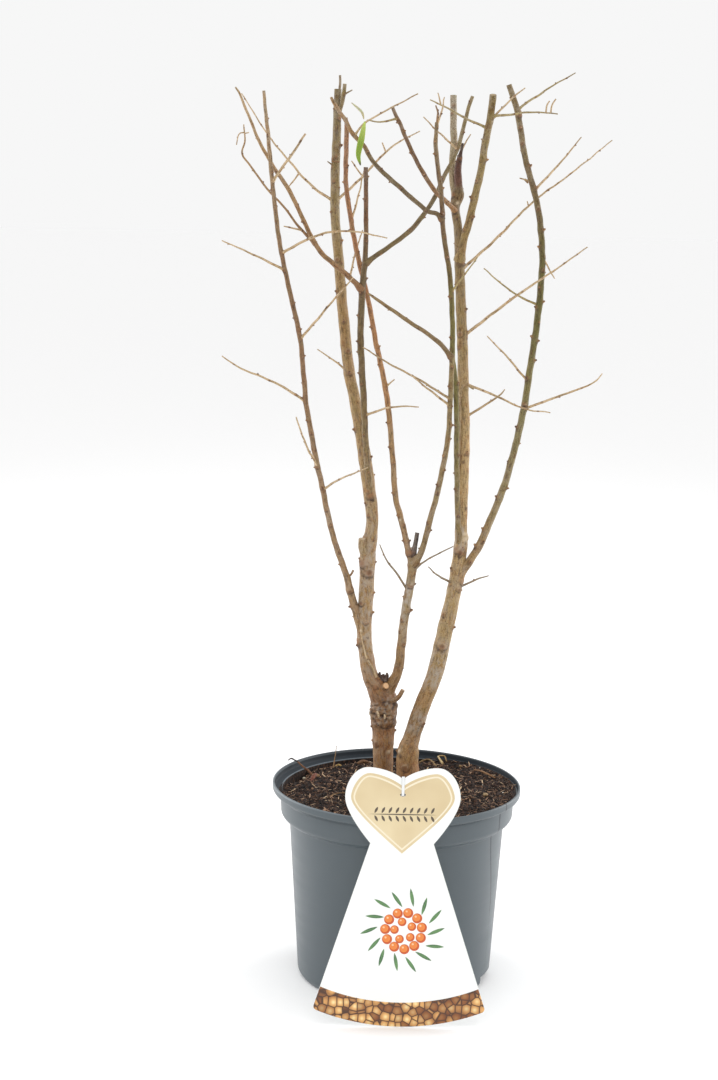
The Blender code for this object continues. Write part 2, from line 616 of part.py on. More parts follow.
def make_tie(parts):
    slack = 0.4
    low = TIE_HOLE[2] - 0.2
    high = NOTCH_HEIGHT + 1.2 + slack
    half_gap = LABEL_THICKNESS / 2 + slack
    loops = []
    for grow_by in (0.0, TIE_THICKNESS):
        wide = half_gap + grow_by
        middle = (low + high) / 2
        tall = (high - low) / 2 + grow_by
        soft = 0.5 + grow_by / 2
        knots = [(wide, middle - tall + soft), (wide, middle + tall - soft),
                 (wide - soft, middle + tall), (-wide + soft, middle + tall),
                 (-wide, middle + tall - soft), (-wide, middle - tall + soft),
                 (-wide + soft, middle - tall), (wide - soft, middle - tall)]
        loops.append([(knot, (0, 0), (0, 0)) for knot in knots])
    tie = flat_sheet("label_tie", loops, TIE_WIDTH, 1, parts)
    turn = Matrix(((0, 0, 1), (0, 1, 0), (-1, 0, 0))).to_4x4()
    tie.matrix_world = label_frame() @ turn
    tie = curve_to_mesh(tie, parts)
    give_material(tie, "label_tie")
    return tie


# Leaves: narrow blades folded along the midrib
def make_leaf(name, points, half_width, fold, parts):
    route = smooth_route([(*point, 0) for point in points], 6.0)
    blade = bmesh.new()
    rows = []
    for index, place in enumerate(route):
        share = index / (len(route) - 1)
        width = max(0.35, half_width * math.sin(math.pi * (0.06 + 0.88 * share)) ** 0.8)
        before = route[max(0, index - 1)].to_3d()
        after = route[min(len(route) - 1, index + 1)].to_3d()
        along = (after - before).normalized()
        sideways = along.cross(Vector((0.25, -1, 0.1))).normalized()
        raised = sideways.cross(along).normalized()
        middle = place.to_3d()
        edges = (-1, 0, 1)
        rows.append([blade.verts.new((middle + sideways * width * side
                                      + raised * fold * width * abs(side)) * MM)
                     for side in edges])
    for low, high in zip(rows, rows[1:]):
        for side in (0, 1):
            blade.faces.new((low[side], low[side + 1], high[side + 1], high[side]))
    bmesh.ops.triangulate(blade, faces=blade.faces)
    leaf = mesh_object(name, parts, blade)
    thick = leaf.modifiers.new("thickness", "SOLIDIFY")
    thick.thickness = 0.6 * MM
    thick.offset = 0.0
    apply_modifiers(leaf)
    give_material(leaf, name)
    return leaf


def shade(obj):
    obj.data.shade_smooth()
    obj.data.set_sharp_from_angle(angle=math.radians(40))


def main():
    clear_scene()
    parts = new_collection("potted_sea_buckthorn")
    make_pot(parts)
    make_soil(parts)
    grow("left_stems", LEFT_LEADER, LEFT_STEMS, LEFT_TWIGS, parts, BUD_SEED)
    grow("right_stems", RIGHT_LEADER, RIGHT_STEMS, RIGHT_TWIGS, parts, BUD_SEED + 1)
    make_leaf("green_leaf", GREEN_LEAF, 2.4, 0.35, parts)
    make_leaf("silvery_leaf", SILVERY_LEAF, 1.0, 0.5, parts)
    make_label(parts)
    make_tie(parts)
    for obj in parts.objects:
        shade(obj)


main()
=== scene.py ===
import math
import random

import bmesh
import bpy
from mathutils import Matrix, Vector, noise
from mathutils.kdtree import KDTree


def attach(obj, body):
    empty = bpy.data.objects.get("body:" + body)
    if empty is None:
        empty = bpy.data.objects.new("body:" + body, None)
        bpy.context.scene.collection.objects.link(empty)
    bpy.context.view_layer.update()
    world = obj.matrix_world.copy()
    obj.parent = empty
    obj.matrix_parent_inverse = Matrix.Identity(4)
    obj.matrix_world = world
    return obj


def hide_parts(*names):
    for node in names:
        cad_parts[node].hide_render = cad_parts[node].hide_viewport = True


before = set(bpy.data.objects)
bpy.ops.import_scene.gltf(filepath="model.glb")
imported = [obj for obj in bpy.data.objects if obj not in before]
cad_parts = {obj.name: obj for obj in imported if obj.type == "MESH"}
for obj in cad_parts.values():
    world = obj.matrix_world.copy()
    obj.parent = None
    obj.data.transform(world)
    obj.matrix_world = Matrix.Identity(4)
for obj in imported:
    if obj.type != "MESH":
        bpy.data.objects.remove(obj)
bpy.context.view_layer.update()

mm = 0.001


# small helpers: colours, nodes, meshes
def toLinear(hexColour):
    values = [int(hexColour[i:i + 2], 16) / 255 for i in (1, 3, 5)]
    linear = [v / 12.92 if v <= 0.04045 else ((v + 0.055) / 1.055) ** 2.4 for v in values]
    return (*linear, 1.0)


def findSocket(sockets, key):
    for socket in sockets:
        if socket.identifier == key:
            return socket
    return sockets[key]


def fillSockets(tree, node, values):
    # a node stands for its first output in use, a node with a name for the output of that name
    for key, value in values.items():
        socket = node.inputs[key] if isinstance(key, int) else findSocket(node.inputs, key)
        if isinstance(value, bpy.types.Node):
            tree.links.new(next(output for output in value.outputs if output.enabled), socket)
        elif isinstance(value, tuple) and isinstance(value[0], bpy.types.Node):
            tree.links.new(findSocket(value[0].outputs, value[1]), socket)
        else:
            socket.default_value = value


def addNode(tree, kind, values=None):
    # stops go to a colour ramp, the node's own settings to the node, all the rest to its sockets
    node = tree.nodes.new(kind)
    sockets = {}
    for key, value in (values or {}).items():
        if key == "stops":
            elements = node.color_ramp.elements
            for element, (spot, colour) in zip(elements, (value[0], value[-1])):
                element.position, element.color = spot, toLinear(colour)
            for spot, colour in value[1:-1]:
                elements.new(spot).color = toLinear(colour)
        elif isinstance(key, str) and hasattr(node, key):
            setattr(node, key, value)
        else:
            sockets[key] = value
    fillSockets(tree, node, sockets)
    return node


def startMaterial(name, roughness, ior=1.5):
    material = bpy.data.materials.new(name)
    material.use_nodes = True
    tree = material.node_tree
    shader = tree.nodes["Principled BSDF"]
    fillSockets(tree, shader, {"Roughness": roughness, "IOR": ior})
    return material, tree, shader


def mottled(name, roughness, scale, detail, stops, coat=0.0, relief=None):
    # one noise sets the shade and, where there is relief, how far the surface stands out
    material, tree, shader = startMaterial(name, roughness)
    coords = addNode(tree, "ShaderNodeTexCoord")
    mottle = addNode(tree, "ShaderNodeTexNoise", {
        "Scale": scale, "Detail": detail, "Vector": (coords, "Object")})
    ramp = addNode(tree, "ShaderNodeValToRGB", {"stops": stops, "Fac": mottle})
    fillSockets(tree, shader, {"Base Color": ramp, "Coat Weight": coat})
    if relief:
        bump = addNode(tree, "ShaderNodeBump", {"Strength": 1.0, "Distance": relief * mm, "Height": mottle})
        fillSockets(tree, shader, {"Normal": bump})
    return material


def newObject(name, mesh, material=None):
    obj = bpy.data.objects.new(name, mesh)
    bpy.context.scene.collection.objects.link(obj)
    if material:
        mesh.materials.clear()
        mesh.materials.append(material)
    return obj


def toMesh(name, data):
    mesh = bpy.data.meshes.new(name)
    data.to_mesh(mesh)
    data.free()
    return mesh


def fromBmesh(name, data, material=None, smooth=True):
    mesh = toMesh(name, data)
    if smooth:
        mesh.shade_smooth()
        mesh.set_sharp_from_angle(angle=math.radians(50))
    return newObject(name, mesh, material)


def bake(obj):
    bpy.context.view_layer.update()
    graph = bpy.context.evaluated_depsgraph_get()
    mesh = bpy.data.meshes.new_from_object(obj.evaluated_get(graph), depsgraph=graph)
    obj.modifiers.clear()
    if obj.type != "MESH":
        name = obj.name
        stance = obj.matrix_world.copy()
        bpy.data.objects.remove(obj, do_unlink=True)
        mesh.transform(stance)
        return newObject(name, mesh)
    obj.data = mesh
    return obj


def newTree(name, inputs):
    tree = bpy.data.node_groups.new(name, "GeometryNodeTree")
    tree.interface.new_socket("Geometry", in_out="INPUT", socket_type="NodeSocketGeometry")
    for title, kind in inputs.items():
        tree.interface.new_socket(title, in_out="INPUT", socket_type="NodeSocket" + kind)
    tree.interface.new_socket("Geometry", in_out="OUTPUT", socket_type="NodeSocketGeometry")
    return tree, addNode(tree, "NodeGroupInput")


def runTree(obj, tree, values):
    modifier = obj.modifiers.new(tree.name, "NODES")
    modifier.node_group = tree
    for item in tree.interface.items_tree:
        if item.in_out == "INPUT" and item.name in values:
            modifier[item.identifier] = values[item.name]
    return bake(obj)


def place(obj, slotName, *nodes):
    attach(obj, "root")
    if nodes:
        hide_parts(*nodes)
    return obj


# camera: a short telephoto, a little above the pot's rim and tipped down
camera = {"across": -38.2, "depth": -1932.9, "height": 750.9, "tipDown": 10.353, "roll": 1.035,
          "lens": 74.39, "sensor": 36.0}


def makeCamera():
    data = bpy.data.cameras.new("photoCamera")
    data.lens = camera["lens"]
    data.sensor_width = camera["sensor"]
    data.clip_start = 0.05
    obj = bpy.data.objects.new("photoCamera", data)
    bpy.context.scene.collection.objects.link(obj)
    spot = Matrix.Translation(Vector((camera["across"], camera["depth"], camera["height"])) * mm)
    tip = Matrix.Rotation(math.radians(90 - camera["tipDown"]), 4, "X")
    obj.matrix_world = spot @ tip @ Matrix.Rotation(math.radians(camera["roll"]), 4, "Z")
    bpy.context.scene.camera = obj


# studio: pale floor, even white surround, big soft lamps above and on both sides
studio = {"floorSize": 30.0, "floorColour": "#ffffff", "surround": "#ffffff", "surroundStrength": 0.93,
          "lamps": [("topLamp", (0.0, -1.2, 2.6), 2.4, 12.0), ("leftLamp", (-1.8, 0.9, 0.8), 1.6, 22.0),
                    ("rightLamp", (1.8, 0.9, 0.8), 1.6, 28.0)],
          "aim": (0.0, 0.0, 0.35)}


def makeStudio():
    floorMaterial, tree, shader = startMaterial("paperSweep", 0.8)
    fillSockets(tree, shader, {"Base Color": toLinear(studio["floorColour"]), "Specular IOR Level": 0.1})
    data = bmesh.new()
    bmesh.ops.create_grid(data, x_segments=1, y_segments=1, size=studio["floorSize"] / 2)
    fromBmesh("studioFloor", data, floorMaterial, smooth=False)
    world = bpy.data.worlds.new("softSurround")
    world.use_nodes = True
    fillSockets(world.node_tree, world.node_tree.nodes["Background"],
                {"Color": toLinear(studio["surround"]), "Strength": studio["surroundStrength"]})
    bpy.context.scene.world = world
    for name, spot, size, power in studio["lamps"]:
        data = bpy.data.lights.new(name, "AREA")
        data.shape = "DISK"
        data.size = size
        data.energy = power
        lamp = bpy.data.objects.new(name, data)
        bpy.context.scene.collection.objects.link(lamp)
        lamp.location = spot
        lamp.rotation_mode = "QUATERNION"
        lamp.rotation_quaternion = (Vector(studio["aim"]) - Vector(spot)).to_track_quat("-Z", "Y")
    bpy.context.scene.view_settings.view_transform = "Standard"


# nursery pot: injection-moulded polypropylene
pot = {
    "height": 177.0, "lipRadius": 111.2, "lipBottom": 170.6, "collarRadius": 104.6, "collarBottom": 150.6,
    "wallTop": 96.2, "baseRadius": 87.2, "wall": 1.5, "floor": 2.2, "segments": 192, "recesses": 4,
    "recessAngle": -15.0, "recessDepth": 12.0, "recessWidth": 38.0, "recessHeight": 10.0, "drainWidth": 20.0,
    "drainHeight": 5.0, "seams": (-31.0, 149.0, 184.0), "seamWidth": 1.0, "seamLean": 0.14,
    "seamSpan": (70.0, 150.0), "seamFade": (64.0, 78.0), "seamShows": (0.1, 0.9), "lipGroove": 0.45,
    # the inside colour is painted shade inside the pot and its foot recesses; the ledge colour and the edge
    # colour near the lip's top are painted highlights
    "lipLift": (0.4, -1.0, 0.75), "lipShift": -0.6, "inward": -0.02, "ledge": (103.3, 171.4), "ledgeWidth": 0.8,
    "ledgeTall": 1.0, "hollow": (83.6, 11.0), "rimHighlight": (176.0, 176.7, 0.5), "colour": "#4f585d",
    "seamColour": "#1c2328", "dustColour": "#8c8479", "roughness": 0.36, "paintedShadeColour": "#1f2830",
    "ledgeHighlightColour": "#5c666d", "rimHighlightColour": "#737c82",
}


def moulding():
    # polypropylene, moulded in a satin tool: even grey-blue, soft wide gloss, faint handling dust
    material, tree, shader = startMaterial("satinPolypropylene", pot["roughness"], 1.49)
    coords = addNode(tree, "ShaderNodeTexCoord")
    parts = addNode(tree, "ShaderNodeSeparateXYZ", {"Vector": (coords, "Object")})
    cloud = addNode(tree, "ShaderNodeTexNoise", {"Scale": 24.0, "Detail": 4.0, "Vector": (coords, "Object")})
    dust = addNode(tree, "ShaderNodeValToRGB", {"stops": [(0.55, "#000000"), (0.8, "#2b2b2b")], "Fac": cloud})
    colour = addNode(tree, "ShaderNodeMix", {
        "data_type": "RGBA", "A_Color": toLinear(pot["colour"]), "B_Color": toLinear(pot["dustColour"]),
        "Factor_Float": dust})
    # mould seams: thin dark lines that lean below the collar and fade out towards the foot
    turn = addNode(tree, "ShaderNodeMath", {"operation": "ARCTAN2", 0: (parts, "Y"), 1: (parts, "X")})
    leanFrom, leanTo = pot["seamSpan"]
    fadeFrom, fadeTo = pot["seamFade"]
    faint, plain = pot["seamShows"]
    faded = addNode(tree, "ShaderNodeMapRange", {
        "From Min": fadeFrom * mm, "From Max": fadeTo * mm, "To Min": faint, "To Max": plain,
        "Value": (parts, "Z")})
    lean = addNode(tree, "ShaderNodeMapRange", {
        "interpolation_type": "SMOOTHSTEP", "From Min": leanFrom * mm, "From Max": leanTo * mm,
        "To Min": pot["seamLean"], "To Max": 0.0, "Value": (parts, "Z")})
    upright = addNode(tree, "ShaderNodeMath", {"operation": "SUBTRACT", 0: turn, 1: lean})
    lines = []
    for angle in pot["seams"]:
        wrapped = (angle + 180) % 360 - 180
        lines.append(addNode(tree, "ShaderNodeMath", {
            "operation": "COMPARE", 0: upright, 1: math.radians(wrapped), 2: pot["seamWidth"] / pot["wallTop"]}))
        shown = addNode(tree, "ShaderNodeMath", {"operation": "MULTIPLY", 0: lines[-1], 1: faded})
        colour = addNode(tree, "ShaderNodeMix", {
            "data_type": "RGBA", "Factor_Float": shown, "A_Color": colour,
            "B_Color": toLinear(pot["seamColour"])})
    # painted shade inside and in the recesses, a painted highlight on the ledge under the lip and on the lip's
    # top edge
    flat = addNode(tree, "ShaderNodeCombineXYZ", {"X": (parts, "X"), "Y": (parts, "Y")})
    reach = addNode(tree, "ShaderNodeVectorMath", {"operation": "LENGTH", 0: flat})
    facing = addNode(tree, "ShaderNodeVectorMath", {"operation": "DOT_PRODUCT", 0: flat, 1: (coords, "Normal")})
    inside = addNode(tree, "ShaderNodeMath", {"operation": "LESS_THAN", 0: facing, 1: pot["inward"]})
    # the ledge line under the lip is lightened as a painted highlight, the foot recesses darkened with painted
    # shade
    ledgeRadius, ledgeHeight = pot["ledge"]
    hollowRadius, hollowHeight = pot["hollow"]
    nearEdge, atLedge, within, beneath = [
        addNode(tree, "ShaderNodeMath", {"operation": way, 0: source, 1: limit * mm, 2: spread * mm})
        for way, source, limit, spread in (
            ("COMPARE", (reach, "Value"), ledgeRadius, pot["ledgeWidth"]),
            ("COMPARE", (parts, "Z"), ledgeHeight, pot["ledgeTall"]),
            ("LESS_THAN", (reach, "Value"), hollowRadius, 0.0), ("LESS_THAN", (parts, "Z"), hollowHeight, 0.0))]
    ledge, recess = [addNode(tree, "ShaderNodeMath", {"operation": "MULTIPLY", 0: first, 1: second})
                     for first, second in ((nearEdge, atLedge), (within, beneath))]
    # painted highlight: the lip's top edge lightened towards its crest
    highlightFrom, highlightTo, highlightShare = pot["rimHighlight"]
    rimHighlight = addNode(tree, "ShaderNodeMapRange", {
        "From Min": highlightFrom * mm, "From Max": highlightTo * mm, "To Max": highlightShare, "Value": (parts, "Z")})
    # inside and recess masks lay painted shade; ledge and top-edge masks lay painted highlights
    for share, key in ((inside, "paintedShadeColour"), (recess, "paintedShadeColour"), (ledge, "ledgeHighlightColour"),
                       (rimHighlight, "rimHighlightColour")):
        colour = addNode(tree, "ShaderNodeMix", {
            "data_type": "RGBA", "Factor_Float": share, "A_Color": colour, "B_Color": toLinear(pot[key])})
    # gloss streaked upright, duller inside; a fine grain, and the seams sunk in it
    scuff = addNode(tree, "ShaderNodeMapping", {"Scale": (1.0, 1.0, 9.0), "Vector": (coords, "Object")})
    streak = addNode(tree, "ShaderNodeTexNoise", {"Scale": 14.0, "Detail": 6.0, "Vector": scuff})
    gloss = addNode(tree, "ShaderNodeMapRange", {
        "To Min": pot["roughness"] - 0.05, "To Max": pot["roughness"] + 0.1, "Value": streak})
    dull = addNode(tree, "ShaderNodeMath", {"operation": "MULTIPLY_ADD", 0: inside, 1: 0.3, 2: gloss})
    grain = addNode(tree, "ShaderNodeTexNoise", {"Scale": 900.0, "Detail": 2.0, "Vector": (coords, "Object")})
    relief = addNode(tree, "ShaderNodeMath", {"operation": "MULTIPLY", 0: grain, 1: 0.03})
    for line in lines:
        relief = addNode(tree, "ShaderNodeMath", {"operation": "SUBTRACT", 0: relief, 1: line})
    bump = addNode(tree, "ShaderNodeBump", {"Strength": 0.5, "Distance": 0.2 * mm, "Height": relief})
    fillSockets(tree, shader, {"Base Color": colour, "Roughness": dull, "Normal": bump})
    return material


def roundCorner(before, corner, after, radius, steps=4):
    into = (before - corner).normalized()
    out = (after - corner).normalized()
    reach = min(radius, (before - corner).length / 2.2, (after - corner).length / 2.2)
    points = []
    for i in range(steps + 1):
        t = i / steps
        a = corner + into * reach * (1 - t)
        b = corner + out * reach * t
        points.append(a.lerp(b, t))
    return points


def potProfile():
    collar, wallTop, base = pot["collarRadius"], pot["wallTop"], pot["baseRadius"]
    lip, top, low, under = pot["lipRadius"], pot["height"], pot["lipBottom"], pot["collarBottom"]
    thick, groove = pot["wall"], pot["lipGroove"]
    inner, foot = collar - thick, base - thick
    # radius, height and how far each corner is rounded, from the foot's middle up, over the lip and down inside
    outer = [(0, 0, 0), (base - 3.2, 0, 0.8), (base - 0.2, 4.0, 2.5), (wallTop, under - 5.8, 2.0),
             (collar - 2.4, under - 2.2, 1.5), (collar - 0.7, under + 0.6, 1.6), (collar, low - 4.6, 0.6),
             (collar - groove, low - 3.4, 0.6), (collar - groove, low - 1.0, 0.5), (lip - 0.9, low - 0.5, 0.8),
             (lip, low + 1.2, 1.0), (lip - 0.1, top - 0.3, 1.1), (lip - 1.9, top + 0.1, 1.0)]
    inside = [(lip - 2.1, low + 1.4, 0.8), (inner, low + 0.8, 0.8), (inner - 0.7, under + 1.0, 1.5),
              (inner - 2.4, under - 1.0, 1.5), (wallTop - thick, under - 5.4, 2.0), (foot - 0.2, 5.2, 2.5),
              (foot - 2.6, pot["floor"], 0.8), (0, pot["floor"], 0)]
    corners = [(Vector((radius, height)), bend) for radius, height, bend in outer + inside]
    points = [corners[0][0]]
    for (before, _), (corner, bend), (after, _) in zip(corners, corners[1:], corners[2:]):
        points += roundCorner(before, corner, after, bend) if bend else [corner]
    points.append(corners[-1][0])
    return points


def turned(name, profile, segments):
    data = bmesh.new()
    rings = []
    for radius, height in profile:
        if radius < 0.001:
            rings.append([data.verts.new((0, 0, height * mm))])
            continue
        ring = []
        for i in range(segments):
            angle = 2 * math.pi * i / segments
            spot = (radius * math.cos(angle) * mm, radius * math.sin(angle) * mm, height * mm)
            ring.append(data.verts.new(spot))
        rings.append(ring)
    for low, high in zip(rings, rings[1:]):
        for i in range(segments):
            j = (i + 1) % segments
            corners = [low[i % len(low)], low[j % len(low)], high[j % len(high)], high[i % len(high)]]
            corners = list(dict.fromkeys(corners))
            data.faces.new(corners)
    bmesh.ops.recalc_face_normals(data, faces=data.faces)
    return fromBmesh(name, data)


def boxAt(name, spans, angle):
    data = bmesh.new()
    bmesh.ops.create_cube(data, size=1.0)
    bmesh.ops.scale(data, vec=[(high - low) * mm for low, high in spans], verts=data.verts)
    middle = Matrix.Translation([(low + high) / 2 * mm for low, high in spans])
    bmesh.ops.transform(data, matrix=Matrix.Rotation(math.radians(angle), 4, "Z") @ middle, verts=data.verts)
    return fromBmesh(name, data, smooth=False)


def combine(obj, operation, other):
    boolean = obj.modifiers.new("combine", "BOOLEAN")
    boolean.operation = operation
    boolean.object = other
    bake(obj)


def carve(obj, operation, spans, within=None):
    for i in range(pot["recesses"]):
        tool = boxAt("recessTool", spans, pot["recessAngle"] + i * 360 / pot["recesses"])
        if within:
            combine(tool, "INTERSECT", within)
        combine(obj, operation, tool)
        bpy.data.objects.remove(tool, do_unlink=True)


def springLip(shell):
    # the soft lip isn't quite true: it stands higher and further out at the back left
    even, across, deep = pot["lipLift"]
    for vertex in shell.data.vertices:
        x, y, z = vertex.co / mm
        radius = math.hypot(x, y)
        share = min(1.0, max(0.0, (radius - pot["collarRadius"]) / 1.5))
        if z > pot["lipBottom"] + 0.3 and radius < pot["lipRadius"] - 1.9:
            share = min(share, max(0.0, (z - pot["lipBottom"] - 0.7) / 2.0))
        if z > pot["lipBottom"] - 1.0:
            lift = even + (across * x + deep * y) / pot["lipRadius"]
            vertex.co += Vector((pot["lipShift"], 0.0, lift)) * share * mm


def makePot():
    shell = turned("nurseryPot", potProfile(), pot["segments"])
    springLip(shell)
    base = pot["baseRadius"]
    back = base - pot["recessDepth"]
    half, wall, tall = pot["recessWidth"] / 2, pot["wall"], pot["recessHeight"]
    middle = tall * 0.55
    within = [(0, -1), (base - 3.8, -1), (base - 0.9, 4.6), (base + 0.2, 20), (0, 20)]
    core = turned("wallCore", within, pot["segments"])
    carve(shell, "UNION", [(back - wall, base + 3), (-half - wall, half + wall), (0.5, tall + wall)], core)
    bpy.data.objects.remove(core, do_unlink=True)
    carve(shell, "DIFFERENCE", [(back, base + 6), (-half, half), (-5, tall)])
    carve(shell, "DIFFERENCE", [(back - wall - 1, back + 1), (-pot["drainWidth"] / 2, pot["drainWidth"] / 2),
                                (middle - pot["drainHeight"] / 2, middle + pot["drainHeight"] / 2)])
    shell.data.materials.clear()
    shell.data.materials.append(moulding())
    shell.data.shade_smooth()
    shell.data.set_sharp_from_angle(angle=math.radians(32))
    place(shell, "pot_plastic", "nursery_pot")


# potting soil: peat with bark fibre and perlite, slumped away from the lip at the back left
soil = {
    "level": 170.0, "reach": 102.6, "edge": 106.6, "brim": 172.9, "mound": 3.0, "lumpHeight": 3.0, "rings": 54,
    "segments": 210, "slumpAngle": 126.0, "slumpWidth": 66.0, "slumpDepth": 4.0, "moundWidth": 45.0,
    "rimFrom": 84.0, "lumpLengths": (15.0, 4.5), "brimRow": 172.0, "slumpBrim": 171.0, "strewReach": 105.0,
    "strewInside": 101.5, "pocket": (-93.0, 43.0, 16.0, 6.5), "seed": 7, "crumbs": 8200, "shreds": 900,
    "fibres": 4600, "specks": 34, "dark": "#0f0907", "middle": "#261811", "warm": "#4a3022", "pale": "#a8856a",
    "perlite": "#dcd7cb", "straw": "#d8bd9a",
}


def soilHeight(across, depth):
    radius = math.hypot(across, depth)
    angle = math.degrees(math.atan2(depth, across)) - soil["slumpAngle"]
    slump = math.exp(-(((angle + 180) % 360 - 180) / soil["slumpWidth"]) ** 4)
    rim = min(1.0, max(0.0, (radius - soil["rimFrom"]) / (soil["reach"] - soil["rimFrom"]))) ** 2
    long, short = soil["lumpLengths"]
    coarse = noise.fractal(Vector((across / long, depth / long, 4.2)), 1.0, 2.0, 3)
    fine = noise.fractal(Vector((across / short, depth / short, 1.7)), 1.0, 2.0, 2)
    relief = soil["lumpHeight"] * (0.5 * coarse + 0.4 * fine)
    if radius > soil["reach"] + 0.2:
        return soil["brim"] + 0.25 * relief - slump * (soil["brim"] - soil["slumpBrim"] + 0.25 * relief)
    lift = soil["mound"] * math.exp(-(radius / soil["moundWidth"]) ** 2)
    lift += rim * (soil["brim"] - soil["level"]) * (1 - slump)
    middleX, middleY, wide, deep = soil["pocket"]
    sunk = deep * math.exp(-(math.hypot(across - middleX, depth - middleY) / wide) ** 4)
    return soil["level"] + lift + relief * (1 - 0.6 * rim) - rim * slump * soil["slumpDepth"] - sunk


def shadedBits(name, stops, roughness):
    # each bit carries its own shade, from wet black to dry tan
    material, tree, shader = startMaterial(name, roughness)
    shade = addNode(tree, "ShaderNodeAttribute", {"attribute_name": "shade"})
    coords = addNode(tree, "ShaderNodeTexCoord")
    grit = addNode(tree, "ShaderNodeTexNoise", {"Scale": 900.0, "Detail": 2.0, "Vector": (coords, "Object")})
    mixed = addNode(tree, "ShaderNodeMix", {
        "data_type": "FLOAT", "Factor_Float": 0.25, "A_Float": (shade, "Fac"), "B_Float": grit})
    ramp = addNode(tree, "ShaderNodeValToRGB", {"stops": stops, "Fac": mixed})
    bump = addNode(tree, "ShaderNodeBump", {"Strength": 0.6, "Distance": 0.3 * mm, "Height": grit})
    fillSockets(tree, shader, {"Base Color": ramp, "Normal": bump})
    return material


def lumpShapes(name, count, draws, low, high):
    shapes = bpy.data.collections.new(name)
    for i in range(count):
        data = bmesh.new()
        bmesh.ops.create_icosphere(data, subdivisions=1, radius=1.0)
        stretch = Vector([draws.uniform(a, b) for a, b in zip(low, high)])
        for vertex in data.verts:
            vertex.co = vertex.co * stretch * draws.uniform(0.75, 1.2)
        shapes.objects.link(bpy.data.objects.new(f"{name}{i}", toMesh(f"{name}{i}", data)))
    return shapes


def fibreShapes(count, draws):
    shapes = bpy.data.collections.new("fibreShapes")
    for i in range(count):
        data = bmesh.new()
        bend, kink = draws.uniform(-0.12, 0.12), draws.uniform(-0.06, 0.06)
        rings = []
        for step in range(6):
            t = step / 5 * 2 - 1
            centre = Vector((t, bend * (1 - t * t), kink * math.sin(3 * t) + 0.1 * (1 - t * t)))
            thick = draws.uniform(0.08, 0.12) * (1.05 - abs(t) ** 3)
            rings.append([data.verts.new(centre + Vector((0, thick * math.cos(a), 0.6 * thick * math.sin(a))))
                          for a in (0.4, 2.5, 4.6)])
        for low, high in zip(rings, rings[1:]):
            for side in range(3):
                data.faces.new((low[side], low[side - 1], high[side - 1], high[side]))
        data.faces.new(rings[0])
        data.faces.new(rings[-1][::-1])
        bmesh.ops.recalc_face_normals(data, faces=data.faces)
        shapes.objects.link(bpy.data.objects.new(f"fibre{i}", toMesh(f"fibre{i}", data)))
    return shapes


def scatterTree():
    # bits are strewn over the faces that look up, each with its own turn, size and shade
    tree, given = newTree("strewBits", {"Count per m2": "Float", "Shapes": "Collection", "Smallest": "Float",
                          "Largest": "Float", "Tumble": "Float", "Seed": "Int", "Material": "Material"})
    normal = addNode(tree, "GeometryNodeInputNormal")
    facing = addNode(tree, "ShaderNodeSeparateXYZ", {"Vector": normal})
    upward = addNode(tree, "FunctionNodeCompare", {"operation": "GREATER_THAN", "B": 0.35, "A": (facing, "Z")})
    points = addNode(tree, "GeometryNodeDistributePointsOnFaces", {
        "distribute_method": "RANDOM", "Mesh": (given, "Geometry"), "Selection": upward,
        "Density": (given, "Count per m2"), "Seed": (given, "Seed")})
    shapes = addNode(tree, "GeometryNodeCollectionInfo", {
        "Separate Children": True, "Reset Children": True, "Collection": (given, "Shapes")})
    chance = addNode(tree, "FunctionNodeRandomValue", {"data_type": "FLOAT", "Seed": (given, "Seed")})
    skew = addNode(tree, "ShaderNodeMath", {"operation": "POWER", 0: chance, 1: 2.4})
    size = addNode(tree, "ShaderNodeMapRange", {
        "Value": skew, "To Min": (given, "Smallest"), "To Max": (given, "Largest")})
    tumbleLow = addNode(tree, "ShaderNodeMath", {"operation": "MULTIPLY", 0: (given, "Tumble"), 1: -1.0})
    low = addNode(tree, "ShaderNodeCombineXYZ", {"Z": 0.0, "X": tumbleLow, "Y": tumbleLow})
    high = addNode(tree, "ShaderNodeCombineXYZ", {
        "Z": 2 * math.pi, "X": (given, "Tumble"), "Y": (given, "Tumble")})
    turn = addNode(tree, "FunctionNodeRandomValue", {
        "data_type": "FLOAT_VECTOR", "Seed": 3, "Min": low, "Max": high})
    bits = addNode(tree, "GeometryNodeInstanceOnPoints", {
        "Pick Instance": True, "Points": points, "Instance": shapes, "Rotation": turn, "Scale": size})
    shade = addNode(tree, "FunctionNodeRandomValue", {"data_type": "FLOAT", "Seed": 11})
    kept = addNode(tree, "GeometryNodeStoreNamedAttribute", {
        "data_type": "FLOAT", "domain": "INSTANCE", "Name": "shade", "Geometry": bits, "Value": shade})
    real = addNode(tree, "GeometryNodeRealizeInstances", {"Geometry": kept})
    dressed = addNode(tree, "GeometryNodeSetMaterial", {"Geometry": real, "Material": (given, "Material")})
    addNode(tree, "NodeGroupOutput", {"Geometry": dressed})
    return tree


